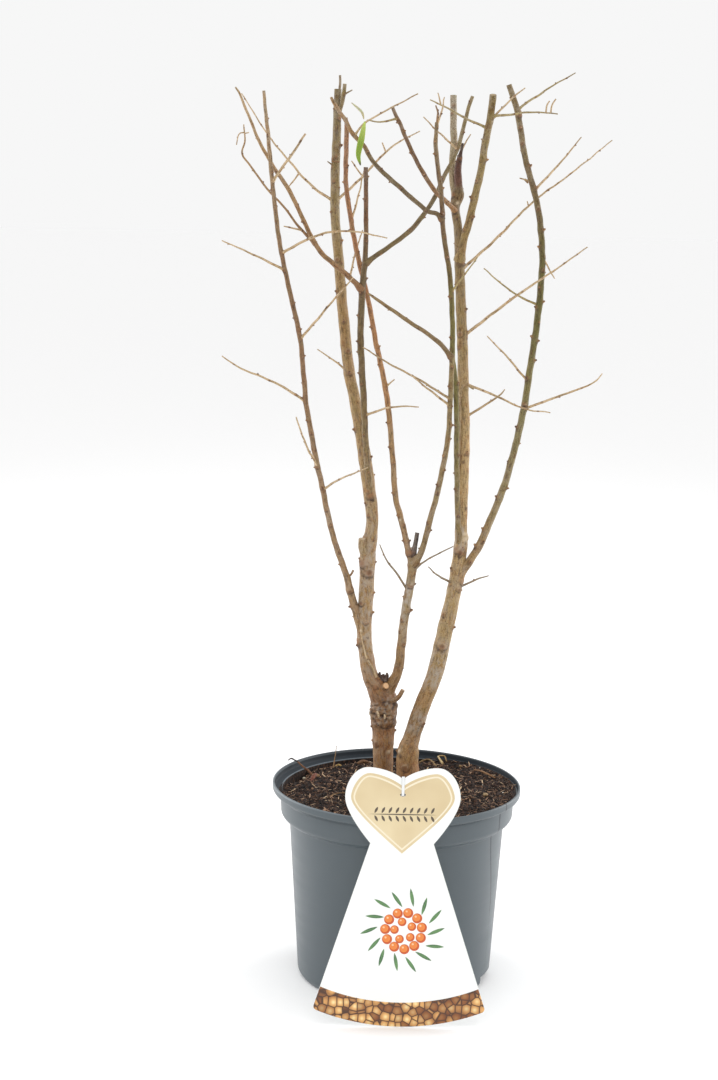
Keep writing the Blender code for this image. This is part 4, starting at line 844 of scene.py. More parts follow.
rightShrub = {
    "name": "right", "node": "right_stems", "seed": 57,
    "leader": [(10, 0, 150, 9.8), (10, 0, 175, 9.9), (9, 0, 203, 9.4), (12.6, 1, 220, 7.5), (20.8, 3, 247, 7.2),
        (32, 5, 278, 7.1), (39, 8, 312, 6.9), (44, 9, 335, 6.5), (48, 11, 358, 6.2), (52, 13, 390, 5.9),
        (52, 14, 415, 5.1), (53, 18, 485, 4.8), (51, 20, 530, 4.7), (50, 21, 558, 4.7), (46.5, 23, 614, 4.4),
        (43.5, 25, 665, 3.9), (40.5, 26, 686, 3.7), (42, 27, 698, 5.3), (42.3, 27, 706, 3.7),
        (41.9, 27, 720, 3.1), (43, 27, 733, 2.1)],
    "stems": [
        ("uprightTop", "leader", 692, 2.9, [(37, 34, 720, 3.0), (38, 40, 742, 3.0), (37, 46, 784, 2.9)]),
        ("forkRight", "leader", 642, 3.5, [(48, 20, 661, 3.4), (52, 16, 677, 3.3), (56, 11, 697, 3.2),
            (60.6, 5, 721, 3.1), (63.8, -2, 747, 3.1), (67, -9, 767, 3.0), (68, -14, 784, 2.9)]),
        ("olive", "leader", 388, 2.9, [(48, 2, 423, 2.4), (46, -6, 463, 2.3), (45, -10, 489, 2.3),
            (43, -18, 534, 2.2), (39.3, -23, 562, 2.2), (38.3, -28, 589, 2.2), (36.3, -35, 618, 2.2),
            (33.3, -40, 641, 2.1), (28.3, -45, 667, 2.1), (25.3, -50, 699, 2.0), (22.3, -54, 720, 1.9),
            (19.3, -57, 741, 1.8), (20, -59, 760, 1.6)]),
        ("diagonal", "olive", 680, 1.9, [(22, -50.5, 685, 1.9), (15, -52.5, 687, 1.9), (7, -54, 692.5, 1.9),
            (-18, -56, 713.5, 1.9), (-32, -56, 727, 1.8), (-40, -55, 740, 1.8), (-50, -54, 750, 1.8),
            (-56, -52, 761, 1.7), (-62, -50, 769, 1.6), (-68, -48, 779, 1.2)]),
        ("forwardLeft", "leader", 685, 2.2, [(31, 9, 694, 2.0), (22, -6, 702, 1.9), (12, -9, 716, 1.9),
            (2, -11, 733, 1.8), (-7, -13, 752, 1.7), (-17, -16, 773, 1.5)]),
        ("arc", "leader", 362, 3.8, [(63, 10, 383, 3.4), (68.8, 11, 394, 3.3), (77.8, 12, 416, 3.2),
            (88.8, 14, 445, 3.1), (97, 17, 477, 3.0), (104.5, 20, 513, 3.0), (109.8, 24, 552, 2.9),
            (115.6, 30, 599, 2.9), (118, 35, 635, 2.8), (117, 38, 661, 2.7), (112.4, 40, 691, 2.7),
            (101, 41, 730, 2.6), (93, 40, 769, 2.7), (84.5, 39, 794, 2.4)]),
    ],
    "twigs": [
        ("leader", 357, 1.2, 0.5, "grey", [(33, -2, 367), (23, -12, 377)]),
        ("leader", 353, 1.2, 0.5, "grey", [(67, 16, 361), (78, 20, 364)]),
        ("leader", 633, 1.4, 0.5, "straw", [(78, 38, 662), (109, 52, 693), (145, 62, 720), (179, 70, 748)]),
        ("leader", 576, 1.4, 0.5, "straw", [(93, 16, 612), (122, 11, 633), (154, 5, 657)]),
        ("leader", 536, 1.2, 0.5, "straw", [(80, 12, 526), (103, 8, 516), (127, 3, 513)]),
        ("leader", 505, 1.2, 0.5, "tan", [(81, 26, 523), (88, 28, 530)]),
        ("leader", 731, 0.9, 0.5, "straw", [(46.6, 27, 741.5), (52, 27, 751)]),
        ("leader", 730, 1.7, 1.2, "stub", [(45.2, 26, 743.5)]),
        ("olive", 619, 1.1, 0.5, "moss", [(45, -42, 632), (57, -50, 650)]),
        ("olive", 756, 1.0, 0.5, "straw", [(24, -61, 771), (25, -62, 779)]),
        ("forwardLeft", 763, 1.0, 0.5, "moss", [(-24, -20, 760), (-38, -24, 761)]),
        ("diagonal", 748, 1.0, 0.5, "straw", [(-39, -56, 759), (-18, -59, 771), (4, -62, 783)]),
        ("forkRight", 756, 1.2, 0.5, "moss", [(46, -10, 764), (28, -16, 773), (15, -20, 779)]),
        ("forkRight", 766, 1.2, 0.5, "moss", [(84, -16, 768), (101, -24, 770), (122, -30, 769)]),
        ("forkRight", 762, 1.0, 0.5, "straw", [(84, -12, 781), (95, -18, 790)]),
        ("arc", 770, 1.4, 0.5, "moss", [(96, 41, 775.3), (112, 42.5, 786), (124.7, 44, 794.4),
            (142.6, 46, 804.7)]),
        ("arc", 703, 1.2, 0.5, "straw", [(132, 46, 728), (150, 50, 750)]),
        ("arc", 711, 1.0, 0.5, "tan", [(96, 37, 714)]),
        ("arc", 604, 1.1, 0.5, "moss", [(93, 34, 615), (67, 38, 635)]),
        ("arc", 538, 1.1, 0.5, "straw", [(88, 25, 560), (71, 26, 577)]),
        ("arc", 514, 1.2, 0.5, "straw", [(129, 20, 523.5), (152, 22, 532), (167, 25, 538.4), (173.5, 27, 546)]),
        ("arc", 646, 1.0, 0.5, "straw", [(129, 32, 628)]),
    ],
    "buds": {
        "leader": [(206, -1, 2.8), (233.6, 0.78, 2.6), (268, 0.33, 1.8), (320.5, 0.95, 2.6),
            (329.3, -0.75, 2.4), (370.7, -0.88, 2.4), (442, -1, 2.6), (475, 0.48, 2.4), (500, -0.9, 2.4),
            (533, -1, 2.4), (600, 0.9, 2.2), (622, -0.8, 2.2)],
        "olive": [(422, 0, 1.7), (445, -0.77, 1.9), (540, 0.9, 1.7), (580, -0.9, 1.7), (615.3, -0.79, 1.9),
            (649, 0.1, 1.8), (685, -0.1, 2.2), (706, 1, 1.6), (734, -1, 1.6)],
        "diagonal": [(706, 0, 1.6), (735, 0.3, 1.5)],
        "forwardLeft": [(717, 0, 1.5), (760, -1, 1.6)],
        "forkRight": [(682, 0.68, 2.4), (697, -1, 2.4), (712, -0.65, 2.0), (730, 1, 2.2), (766, 1, 2.0)],
        "uprightTop": [(742, 0.9, 2.0)],
        "arc": [(378.6, 0.19, 2.2), (391.8, -1, 2.6), (396.7, 0.35, 2.0), (406.4, -1, 2.4), (435, -1, 2.2),
            (445, 1, 2.1), (497, -1, 2.1), (540.6, -0.63, 2.2), (556, 1, 2.2), (573, 1, 2.2), (576, -1, 2.2),
            (602, -0.92, 2.2), (608, 1, 2.2), (654.6, -1, 2.1), (668.8, 1, 2.2), (705, 1, 2.1), (723.4, 1, 2.3),
            (757, 0, 1.9)],
    },
    "scars": {
        "leader": [(193.7, -0.21, 4.2), (303, 0, 4.6), (354.5, 0.67, 3.0), (387, 0, 4.4), (579, -0.4, 3.0),
            (651, 0.2, 3.6)],
        "uprightTop": [(775.3, 0, 1.8)],
        "arc": [(516.7, 0.06, 2.2), (635, 0.46, 2.2), (687.2, 0, 2.2), (744.2, -0.14, 2.2)],
    },
    "lumps": {
        "leader": [
            ("dark", [(203.6, -0.68, 2.6, 0.9)]),
            ("pale", [(206.5, -0.84, 2.0, 1.0)]),
            ("plain", [(214, 0.4, 4.0, 0.8)]),
            ("dark", [(425.6, 0.68, 1.6, 0.3), (466.6, -0.13, 1.6, 0.3)]),
            ("bud", [(236.6, 0.26, 1.4, 0.3)]),
            ("pale", [(398, 0.65, 3.2, 0.8), (403, 0.5, 2.6, 0.6), (400, 0.95, 3.4, 1.2),
                (691.5, 0.2, 2.0, 0.5)]),
            ("plain", [(698, 0.6, 3.4, 0.9)]),
            ("bud", [(698, -0.8, 3.0, 0.8)]),
        ],
        "arc": [("bud", [(517.5, -0.35, 2.6, 0.9), (516, 0.4, 1.8, 0.7), (767.4, 0.48, 3.2, 1.5)])],
        "forkRight": [("pale", [(712, -0.65, 1.2, 0.3)])],
    },
    "spurs": [
        ("straw", 0.8, 0.5, [(24, -17, 775.5), (21.5, -15, 784.8)]),
        ("shoulder", 1.3, 1.0, [(49, 13.8, 446), (48.5, 12.4, 458), (48.3, 12.2, 478), (48.1, 12.6, 504),
            (48.3, 13, 525), (49.7, 12.4, 533), (53, 11.4, 535.6), (60, 11.5, 532)]),
        ("straw", 0.45, 0.4, [(27.1, -12, 781.5), (25.2, -12, 770.6), (23, -12, 764)]),
        ("brown", 1.2, 0.6, [(20, -59, 757), (20.4, -60, 764.7), (20.5, -60, 768.5), (18.7, -60, 774.1)]),
        ("straw", 0.7, 0.5, [(105.6, 52, 689.7), (104.2, 51, 694)]),
        ("straw", 0.8, 0.6, [(112, -27, 769.5), (112.7, -28, 775.7), (114.7, -28, 779.5)]),
        ("straw", 0.8, 0.6, [(116, -28, 769.5), (116.9, -28, 775.8), (120, -28, 781.2)]),
        ("brown", 1.2, 0.7, [(101, 40.5, 713), (103.5, 39, 709.9)]),
    ],
}


# how much a swelling shows as knob, as dark bark and painted shade, and as pale wood; a groove's darkness is
# painted shade
knotLooks = {"bud": (0.8, 0.0, 0.0), "plain": (0.25, 0.0, 0.0), "dark": (0.4, 0.75, 0.0),
             "pale": (0.0, 0.0, 0.9), "groove": (0.0, 1.0, 0.0), "callus": (0.0, 0.0, 0.3),
             "gold": (1.0, 0.0, 0.2)}


def smoothRoute(points, step):
    knots = [Vector(point) for point in points]
    knots.insert(0, knots[0] * 2 - knots[1])
    knots.append(knots[-1] * 2 - knots[-2])
    route = [knots[1]]
    for i in range(1, len(knots) - 2):
        before, start, end, after = knots[i - 1:i + 3]
        steps = max(1, round((end.to_3d() - start.to_3d()).length / step))
        for k in range(1, steps + 1):
            t = k / steps
            square = 2 * before - 5 * start + 4 * end - after
            cube = 3 * start - before - 3 * end + after
            route.append(0.5 * (2 * start + (end - before) * t + square * t ** 2 + cube * t ** 3))
    return route


def atHeight(route, height):
    for low, high in zip(route, route[1:]):
        if low.z <= height <= high.z:
            return low.lerp(high, (height - low.z) / (high.z - low.z))
    return min(route, key=lambda point: abs(point.z - height)).copy()


def toneAt(stops, height):
    for (low, first), (high, second) in zip(stops, stops[1:]):
        if height <= high:
            share = min(1.0, max(0.0, (height - low) / (high - low)))
            return [a + (b - a) * share for a, b in zip(toLinear(first), toLinear(second))]
    return list(toLinear(stops[-1][1]))


def shareAt(stops, height):
    for (low, first), (high, second) in zip(stops, stops[1:]):
        if height <= high:
            return first + (second - first) * min(1.0, max(0.0, (height - low) / (high - low)))
    return stops[-1][1]


def growRoute(points, rootThick, draws, group):
    # a stem wanders a little, and flares where it leaves its parent
    route = smoothRoute(points, wood["steps"][group])
    shift = draws.uniform(0, 100)
    travelled = 0.0
    grown = []
    for i, point in enumerate(route):
        if i:
            travelled += (route[i].to_3d() - route[i - 1].to_3d()).length
        settle = min(1.0, travelled / wood["settle"])
        drift = noise.noise_vector(Vector((shift, 0.0, travelled / wood["wanderLength"])))
        drift = drift * wood["wander"][group] * settle
        past = max(0.0, travelled - rootThick * 0.8)
        flare = 1.0 + wood["flare"] * math.exp(-past / (1.2 * point.w)) if rootThick else 1.0
        grown.append([point.to_3d() + drift, point.w * flare, travelled])
    return grown


def seatOn(route, i, aim):
    # the spot on the bark where a knot or bud sits, the way it looks and the way the stem runs
    along = (route[min(i + 1, len(route) - 1)][0] - route[max(0, i - 1)][0]).normalized()
    outward = (aim - along * aim.dot(along)).normalized()
    return route[i][0] + outward * route[i][1], outward, along


def seenFrom(side):
    # side runs from -1, the left edge in the front view, to 1, the right edge
    return Vector((side, -math.sqrt(max(0.06, 1 - side * side)), 0.0))


def nearestStep(route, height):
    return min(range(len(route)), key=lambda k: abs(route[k][0].z - height))


def budSpots(route, marks, spacing, draws, skip):
    # the listed buds first, then one every node's length where there is room
    spots = [(nearestStep(route, height), seenFrom(side), size) for height, side, size in marks]
    angle = draws.uniform(0, 360)
    turn, spread = wood["budTurn"]
    target = skip + draws.uniform(0.3, 0.9) * spacing
    while target < route[-1][2] - 4.0:
        i = min(range(len(route)), key=lambda k: abs(route[k][2] - target))
        angle += turn + draws.uniform(-spread, spread)
        target += spacing * draws.uniform(0.7, 1.3)
        size = min(1.7, 0.75 + 0.3 * route[i][1]) * draws.uniform(0.75, 1.15)
        if all(abs(route[i][2] - route[j][2]) > 0.55 * spacing for j, _, _ in spots):
            spots.append((i, Vector((math.cos(math.radians(angle)), math.sin(math.radians(angle)), 0.0)), size))
    return spots


def pathObject(name, strands):
    # every strand is a chain of points that carries its thickness, length, roughness and colour
    mesh = bpy.data.meshes.new(name)
    points, edges, thick, along, gnarl, colour = [], [], [], [], [], []
    for strand in strands:
        start = len(points)
        for spot, radius, length, rough, tint in strand:
            points.append(spot * mm)
            thick.append(radius * mm)
            along.append(length * mm)
            gnarl.append(rough)
            colour.extend(tint)
        edges += [(k, k + 1) for k in range(start, len(points) - 1)]
    mesh.from_pydata(points, edges, [])
    for title, values in (("thick", thick), ("along", along), ("gnarl", gnarl)):
        mesh.attributes.new(title, "FLOAT", "POINT").data.foreach_set("value", values)
    mesh.attributes.new("tint", "FLOAT_COLOR", "POINT").data.foreach_set("color", colour)
    return newObject(name, mesh)


def sweepTree():
    # a ring is carried along each strand, then ridges and lumps of bark are raised on it
    tree, given = newTree("sweepBark", {"Sides": "Int", "Bark depth": "Float", "Bark": "Material",
                                        "Cut": "Material"})
    strands = addNode(tree, "GeometryNodeMeshToCurve", {"Mesh": (given, "Geometry")})
    ring = addNode(tree, "GeometryNodeCurvePrimitiveCircle", {
        "mode": "RADIUS", "Radius": 1.0, "Resolution": (given, "Sides")})
    spot = addNode(tree, "GeometryNodeInputPosition")
    kept = addNode(tree, "GeometryNodeStoreNamedAttribute", {
        "data_type": "FLOAT_VECTOR", "domain": "POINT", "Name": "ring", "Geometry": ring, "Value": spot})
    thick, along, gnarl = [
        addNode(tree, "GeometryNodeInputNamedAttribute", {"data_type": "FLOAT", "Name": name})
        for name in ("thick", "along", "gnarl")]
    swept = addNode(tree, "GeometryNodeCurveToMesh", {
        "Fill Caps": True, "Curve": strands, "Profile Curve": kept, "Scale": thick})
    ringSpot = addNode(tree, "GeometryNodeInputNamedAttribute", {"data_type": "FLOAT_VECTOR", "Name": "ring"})
    around = addNode(tree, "ShaderNodeVectorMath", {"operation": "SCALE", 0: ringSpot, "Scale": thick})
    split = addNode(tree, "ShaderNodeSeparateXYZ", {"Vector": around})
    grain = addNode(tree, "ShaderNodeCombineXYZ", {"X": (split, "X"), "Y": (split, "Y"), "Z": along})
    marked = addNode(tree, "GeometryNodeStoreNamedAttribute", {
        "data_type": "FLOAT_VECTOR", "domain": "POINT", "Name": "grain", "Geometry": swept, "Value": grain})
    normal = addNode(tree, "GeometryNodeInputNormal")
    stretch = addNode(tree, "ShaderNodeVectorMath", {
        "operation": "MULTIPLY", 0: grain, 1: (420.0, 420.0, 110.0)})
    ridges = addNode(tree, "ShaderNodeTexNoise", {"Scale": 1.0, "Detail": 4.0, "Vector": stretch})
    lumps = addNode(tree, "ShaderNodeTexNoise", {"Scale": 260.0, "Detail": 4.0, "Vector": grain})
    ridge = addNode(tree, "ShaderNodeMath", {"operation": "SUBTRACT", 0: ridges, 1: 0.5})
    lump = addNode(tree, "ShaderNodeMath", {"operation": "SUBTRACT", 0: lumps, 1: 0.5})
    depth = addNode(tree, "ShaderNodeMath", {"operation": "MULTIPLY", 0: thick, 1: (given, "Bark depth")})
    rise = addNode(tree, "ShaderNodeMath", {"operation": "MULTIPLY", 0: ridge, 1: depth})
    rise = addNode(tree, "ShaderNodeMath", {"operation": "MULTIPLY_ADD", 0: lump, 1: gnarl, 2: rise})
    offset = addNode(tree, "ShaderNodeVectorMath", {"operation": "SCALE", 0: normal, "Scale": rise})
    raised = addNode(tree, "GeometryNodeSetPosition", {"Geometry": marked, "Offset": offset})
    smooth = addNode(tree, "GeometryNodeSetShadeSmooth", {"domain": "FACE", "Geometry": raised})
    barked = addNode(tree, "GeometryNodeSetMaterial", {"Geometry": smooth, "Material": (given, "Bark")})
    corners = addNode(tree, "GeometryNodeInputMeshFaceNeighbors")
    isEnd = addNode(tree, "FunctionNodeCompare", {
        "data_type": "INT", "operation": "GREATER_THAN", "B_INT": 4, "A_INT": corners})
    cut = addNode(tree, "GeometryNodeSetMaterial", {
        "Geometry": barked, "Selection": isEnd, "Material": (given, "Cut")})
    addNode(tree, "NodeGroupOutput", {"Geometry": cut})
    return tree


def budTree():
    tree, given = newTree("setBuds", {"Bud": "Object", "Material": "Material"})
    aim = addNode(tree, "GeometryNodeInputNamedAttribute", {"data_type": "FLOAT_VECTOR", "Name": "aim"})
    size = addNode(tree, "GeometryNodeInputNamedAttribute", {"data_type": "FLOAT", "Name": "size"})
    turn = addNode(tree, "FunctionNodeAlignRotationToVector", {"axis": "Z", "Vector": aim})
    shape = addNode(tree, "GeometryNodeObjectInfo", {"As Instance": True, "Object": (given, "Bud")})
    points = addNode(tree, "GeometryNodeMeshToPoints", {"Mesh": (given, "Geometry")})
    buds = addNode(tree, "GeometryNodeInstanceOnPoints", {
        "Points": points, "Instance": (shape, "Geometry"), "Rotation": turn, "Scale": size})
    real = addNode(tree, "GeometryNodeRealizeInstances", {"Geometry": buds})
    dressed = addNode(tree, "GeometryNodeSetMaterial", {"Geometry": real, "Material": (given, "Material")})
    addNode(tree, "NodeGroupOutput", {"Geometry": dressed})
    return tree


def budShape():
    # a scaly spur: broad foot, pinched waist and a blunt three-lobed tip
    data = bmesh.new()
    loops, lobes = [], 0.16
    for height, radius in ((-0.6, 1.15), (0.0, 1.05), (0.4, 0.8), (0.85, 0.66), (1.3, 0.55), (1.65, 0.25)):
        loops.append([data.verts.new((radius * (1 + lobes * math.cos(3 * a + height)) * math.cos(a),
                                      radius * (1 + lobes * math.cos(3 * a)) * math.sin(a), height))
                      for a in (2 * math.pi * k / 10 for k in range(10))])
    for low, high in zip(loops, loops[1:]):
        for k in range(10):
            data.faces.new((low[k - 1], low[k], high[k], high[k - 1]))
    data.faces.new(loops[0][::-1])
    data.faces.new(loops[-1])
    mesh = toMesh("budShape", data)
    mesh.shade_smooth()
    return bpy.data.objects.new("budShape", mesh)


def raiseKnots(piece, knots):
    # swells the bark at every knot and keeps, for the finish, how far it is knob, dark bark and painted shade,
    # and pale wood
    mesh = piece.data
    search = KDTree(len(mesh.vertices))
    for vertex in mesh.vertices:
        search.insert(vertex.co, vertex.index)
    search.balance()
    looks = {name: [0.0] * len(mesh.vertices) for name in ("knob", "crease", "pale")}
    lifts = {}
    for seat, outward, along, radius, rise, kind in knots:
        across = outward.cross(along)
        for spot, index, _ in search.find_range(seat * mm, (1.7 * radius + 0.8) * mm):
            normal = mesh.vertices[index].normal
            if normal.dot(outward) < 0.0:
                continue
            away = spot / mm - seat
            up, side = away.dot(along), away.dot(across)
            ragged = 1 + 0.3 * noise.noise(Vector(spot) * 420.0)
            reach = math.hypot(up, side) / radius * ragged
            bell = math.exp(-(reach / 0.8) ** 2.4)
            # a scar: its lower rim darkened as a painted shadow under it, its sunken middle with painted shade
            if kind == "scar":
                below = 0.5 - 0.5 * up / max(0.2, reach * radius)
                dish, lip = math.exp(-(reach / 0.38) ** 2), math.exp(-((reach - 1.05) / 0.2) ** 2)
                inner = math.exp(-((reach - 0.6) / 0.16) ** 2)
                lift = rise * (bell * (0.8 + 0.3 * below) - 0.35 * dish - 0.25 * lip * below)
                shares = (bell * (0.55 + 0.45 * below), max(lip * (0.9 * below - 0.1), 0.4 * dish),
                          0.35 * inner * (1 - below))
            else:
                lift = rise * bell
                shares = knotLooks[kind]
                shares = [share * bell for share in shares]
                # under a bud's foot the bark is darkened as a painted shadow
                if kind == "bud":
                    shares[1] = max(0.0, -up / radius) * math.exp(-((reach - 0.8) / 0.3) ** 2)
            lifts[index] = lifts.get(index, 0.0) + lift
            for values, share in zip(looks.values(), shares):
                values[index] = max(values[index], share)
    normals = {index: mesh.vertices[index].normal.copy() for index in lifts}
    for index, lift in lifts.items():
        mesh.vertices[index].co += normals[index] * lift * mm
    for name, values in looks.items():
        mesh.attributes.new(name, "FLOAT", "POINT").data.foreach_set("value", values)
    mesh.update()


def barkMaterial():
    # young sea buckthorn bark: thin and matt, freckled, with corky pores and flakes of grey film
    material, tree, shader = startMaterial("youngBark", 0.62, 1.45)
    tint, grain, knob, crease, pale, gnarl = [
        addNode(tree, "ShaderNodeAttribute", {"attribute_name": name})
        for name in ("tint", "grain", "knob", "crease", "pale", "gnarl")]
    # texture, repeats per metre across and along the stem, shift and settings
    patterns = {
        "streak": ("Noise", (700, 700, 120), (0, 0, 0), {"Detail": 4.0, "Roughness": 0.65}),
        "freckle": ("Noise", (1300, 1300, 900), (0, 0, 0), {"Detail": 3.0, "Roughness": 0.7}),
        "blotch": ("Noise", (190, 190, 130), (0, 0, 0), {"Detail": 5.0, "Roughness": 0.65}),
        "flakes": ("Noise", (210, 210, 120), (3, 5, 7), {"Detail": 8.0, "Roughness": 0.75}),
        "pores": ("Voronoi", (300, 300, 420), (0, 0, 0), {}),
        "scabs": ("Noise", (260, 260, 260), (0, 0, 0), {"Detail": 4.0}),
    }
    for name, (kind, repeats, shift, settings) in patterns.items():
        stretched = addNode(tree, "ShaderNodeMapping",
                            {"Scale": repeats, "Location": shift, "Vector": (grain, "Vector")})
        patterns[name] = addNode(tree, "ShaderNodeTex" + kind, {"Scale": 1.0, **settings, "Vector": stretched})
    ramps = {
        "shadows": ("streak", [(0.34, "#a39983"), (0.48, "#f2efe6"), (0.6, "#ffffff")]),
        "grit": ("freckle", [(0.34, "#8c8068"), (0.46, "#f4efe4"), (0.58, "#ffffff")]),
        "patches": ("blotch", [(0.34, "#dcc096"), (0.46, "#fffaf0"), (0.6, "#f4f2e6")]),
        "lichen": ("blotch", [(0.55, "#000000"), (0.66, "#707070")]),
        "silver": ("flakes", [(0.42, "#000000"), (0.6, "#b4b4b4")]),
        "dots": ("pores", [(0.1, "#e0e0e0"), (0.17, "#000000")]),
        "crust": ("scabs", [(0.34, "#22160e"), (0.42, "#573a22"), (0.49, "#8a6238"), (0.55, "#87705a"),
                            (0.64, "#a39384")]),
    }
    for name, (pattern, stops) in ramps.items():
        ramps[name] = addNode(tree, "ShaderNodeValToRGB", {"stops": stops, "Fac": patterns[pattern]})
    silvered, knobbly, burnt = [
        addNode(tree, "ShaderNodeMath", {"operation": "MULTIPLY", "use_clamp": clamped, 0: first, 1: second})
        for first, second, clamped in ((ramps["silver"], (tint, "Alpha"), False),
                                       ((knob, "Fac"), ramps["grit"], False),
                                       ((gnarl, "Fac"), wood["crust"], True))]
    colour = tint
    for way, layer, share in (
            ("MULTIPLY", ramps["shadows"], 1.0), ("MULTIPLY", ramps["grit"], 1.0),
            ("MULTIPLY", ramps["patches"], 1.0), ("MIX", toLinear(wood["lichen"]), ramps["lichen"]),
            ("MIX", toLinear(wood["film"]), silvered), ("MIX", toLinear(wood["pore"]), ramps["dots"]),
            ("MIX", toLinear(wood["nodeTint"]), knobbly), ("MIX", ramps["crust"], burnt),
            ("MIX", toLinear(wood["paleWood"]), (pale, "Fac")),
            # the last layer: dark bark on dark knobs, painted shade in grooves, under buds and joints and in
            # scars
            ("MIX", toLinear(wood["crease"]), (crease, "Fac"))):
        colour = addNode(tree, "ShaderNodeMix", {
            "data_type": "RGBA", "blend_type": way, "A_Color": colour, "B_Color": layer, "Factor_Float": share})
    height = patterns["streak"]
    for way, layer in (("ADD", patterns["flakes"]), ("ADD", patterns["freckle"]), ("SUBTRACT", ramps["dots"])):
        height = addNode(tree, "ShaderNodeMath", {"operation": way, 0: height, 1: layer})
    bump = addNode(tree, "ShaderNodeBump", {"Strength": 0.8, "Distance": 0.35 * mm, "Height": height})
    fillSockets(tree, shader, {"Base Color": colour, "Normal": bump})
    return material


def cutMaterial():
    # pruned end: wood in its stem's own tone, with faint rings, a dark pith and a dark rim of bark
    material, tree, shader = startMaterial("cutWood", 0.8)
    ring = addNode(tree, "ShaderNodeAttribute", {"attribute_name": "ring"})
    tint = addNode(tree, "ShaderNodeAttribute", {"attribute_name": "tint"})
    reach = addNode(tree, "ShaderNodeVectorMath", {"operation": "LENGTH", 0: (ring, "Vector")})
    coords = addNode(tree, "ShaderNodeTexCoord")
    rays = addNode(tree, "ShaderNodeTexNoise", {"Scale": 700.0, "Detail": 4.0, "Vector": (coords, "Object")})
    wobble = addNode(tree, "ShaderNodeMath", {"operation": "MULTIPLY_ADD", 0: rays, 1: 0.16, 2: reach})
    ramp = addNode(tree, "ShaderNodeValToRGB", {
        "stops": [(0.12, "#5a4332"), (0.22, "#d9c8b0"), (0.5, "#c0a88c"), (0.62, "#dccab0"), (0.88, "#b09a80"),
                  (0.96, "#5f4a3a")],
        "Fac": wobble})
    toned = addNode(tree, "ShaderNodeMix", {
        "data_type": "RGBA", "Factor_Float": 0.55, "A_Color": ramp, "B_Color": (tint, "Color")})
    fillSockets(tree, shader, {"Base Color": toned})
    return material


def toStrand(route, spots, stops, silver, gnarlAt=None):
    strand = []
    for spot, radius, travelled in route:
        swell = sum(math.exp(-((travelled - route[i][2]) / (0.8 * radius + 1.0)) ** 2) for i, _, _ in spots)
        rough = gnarlAt(spot.z) if gnarlAt else 0.0
        shade = toneAt(stops, spot.z)
        shade[3] = shareAt(silver, spot.z)
        strand.append((spot, radius * (1 + wood["swell"] * min(1.0, swell)), travelled, rough * mm, shade))
    return strand


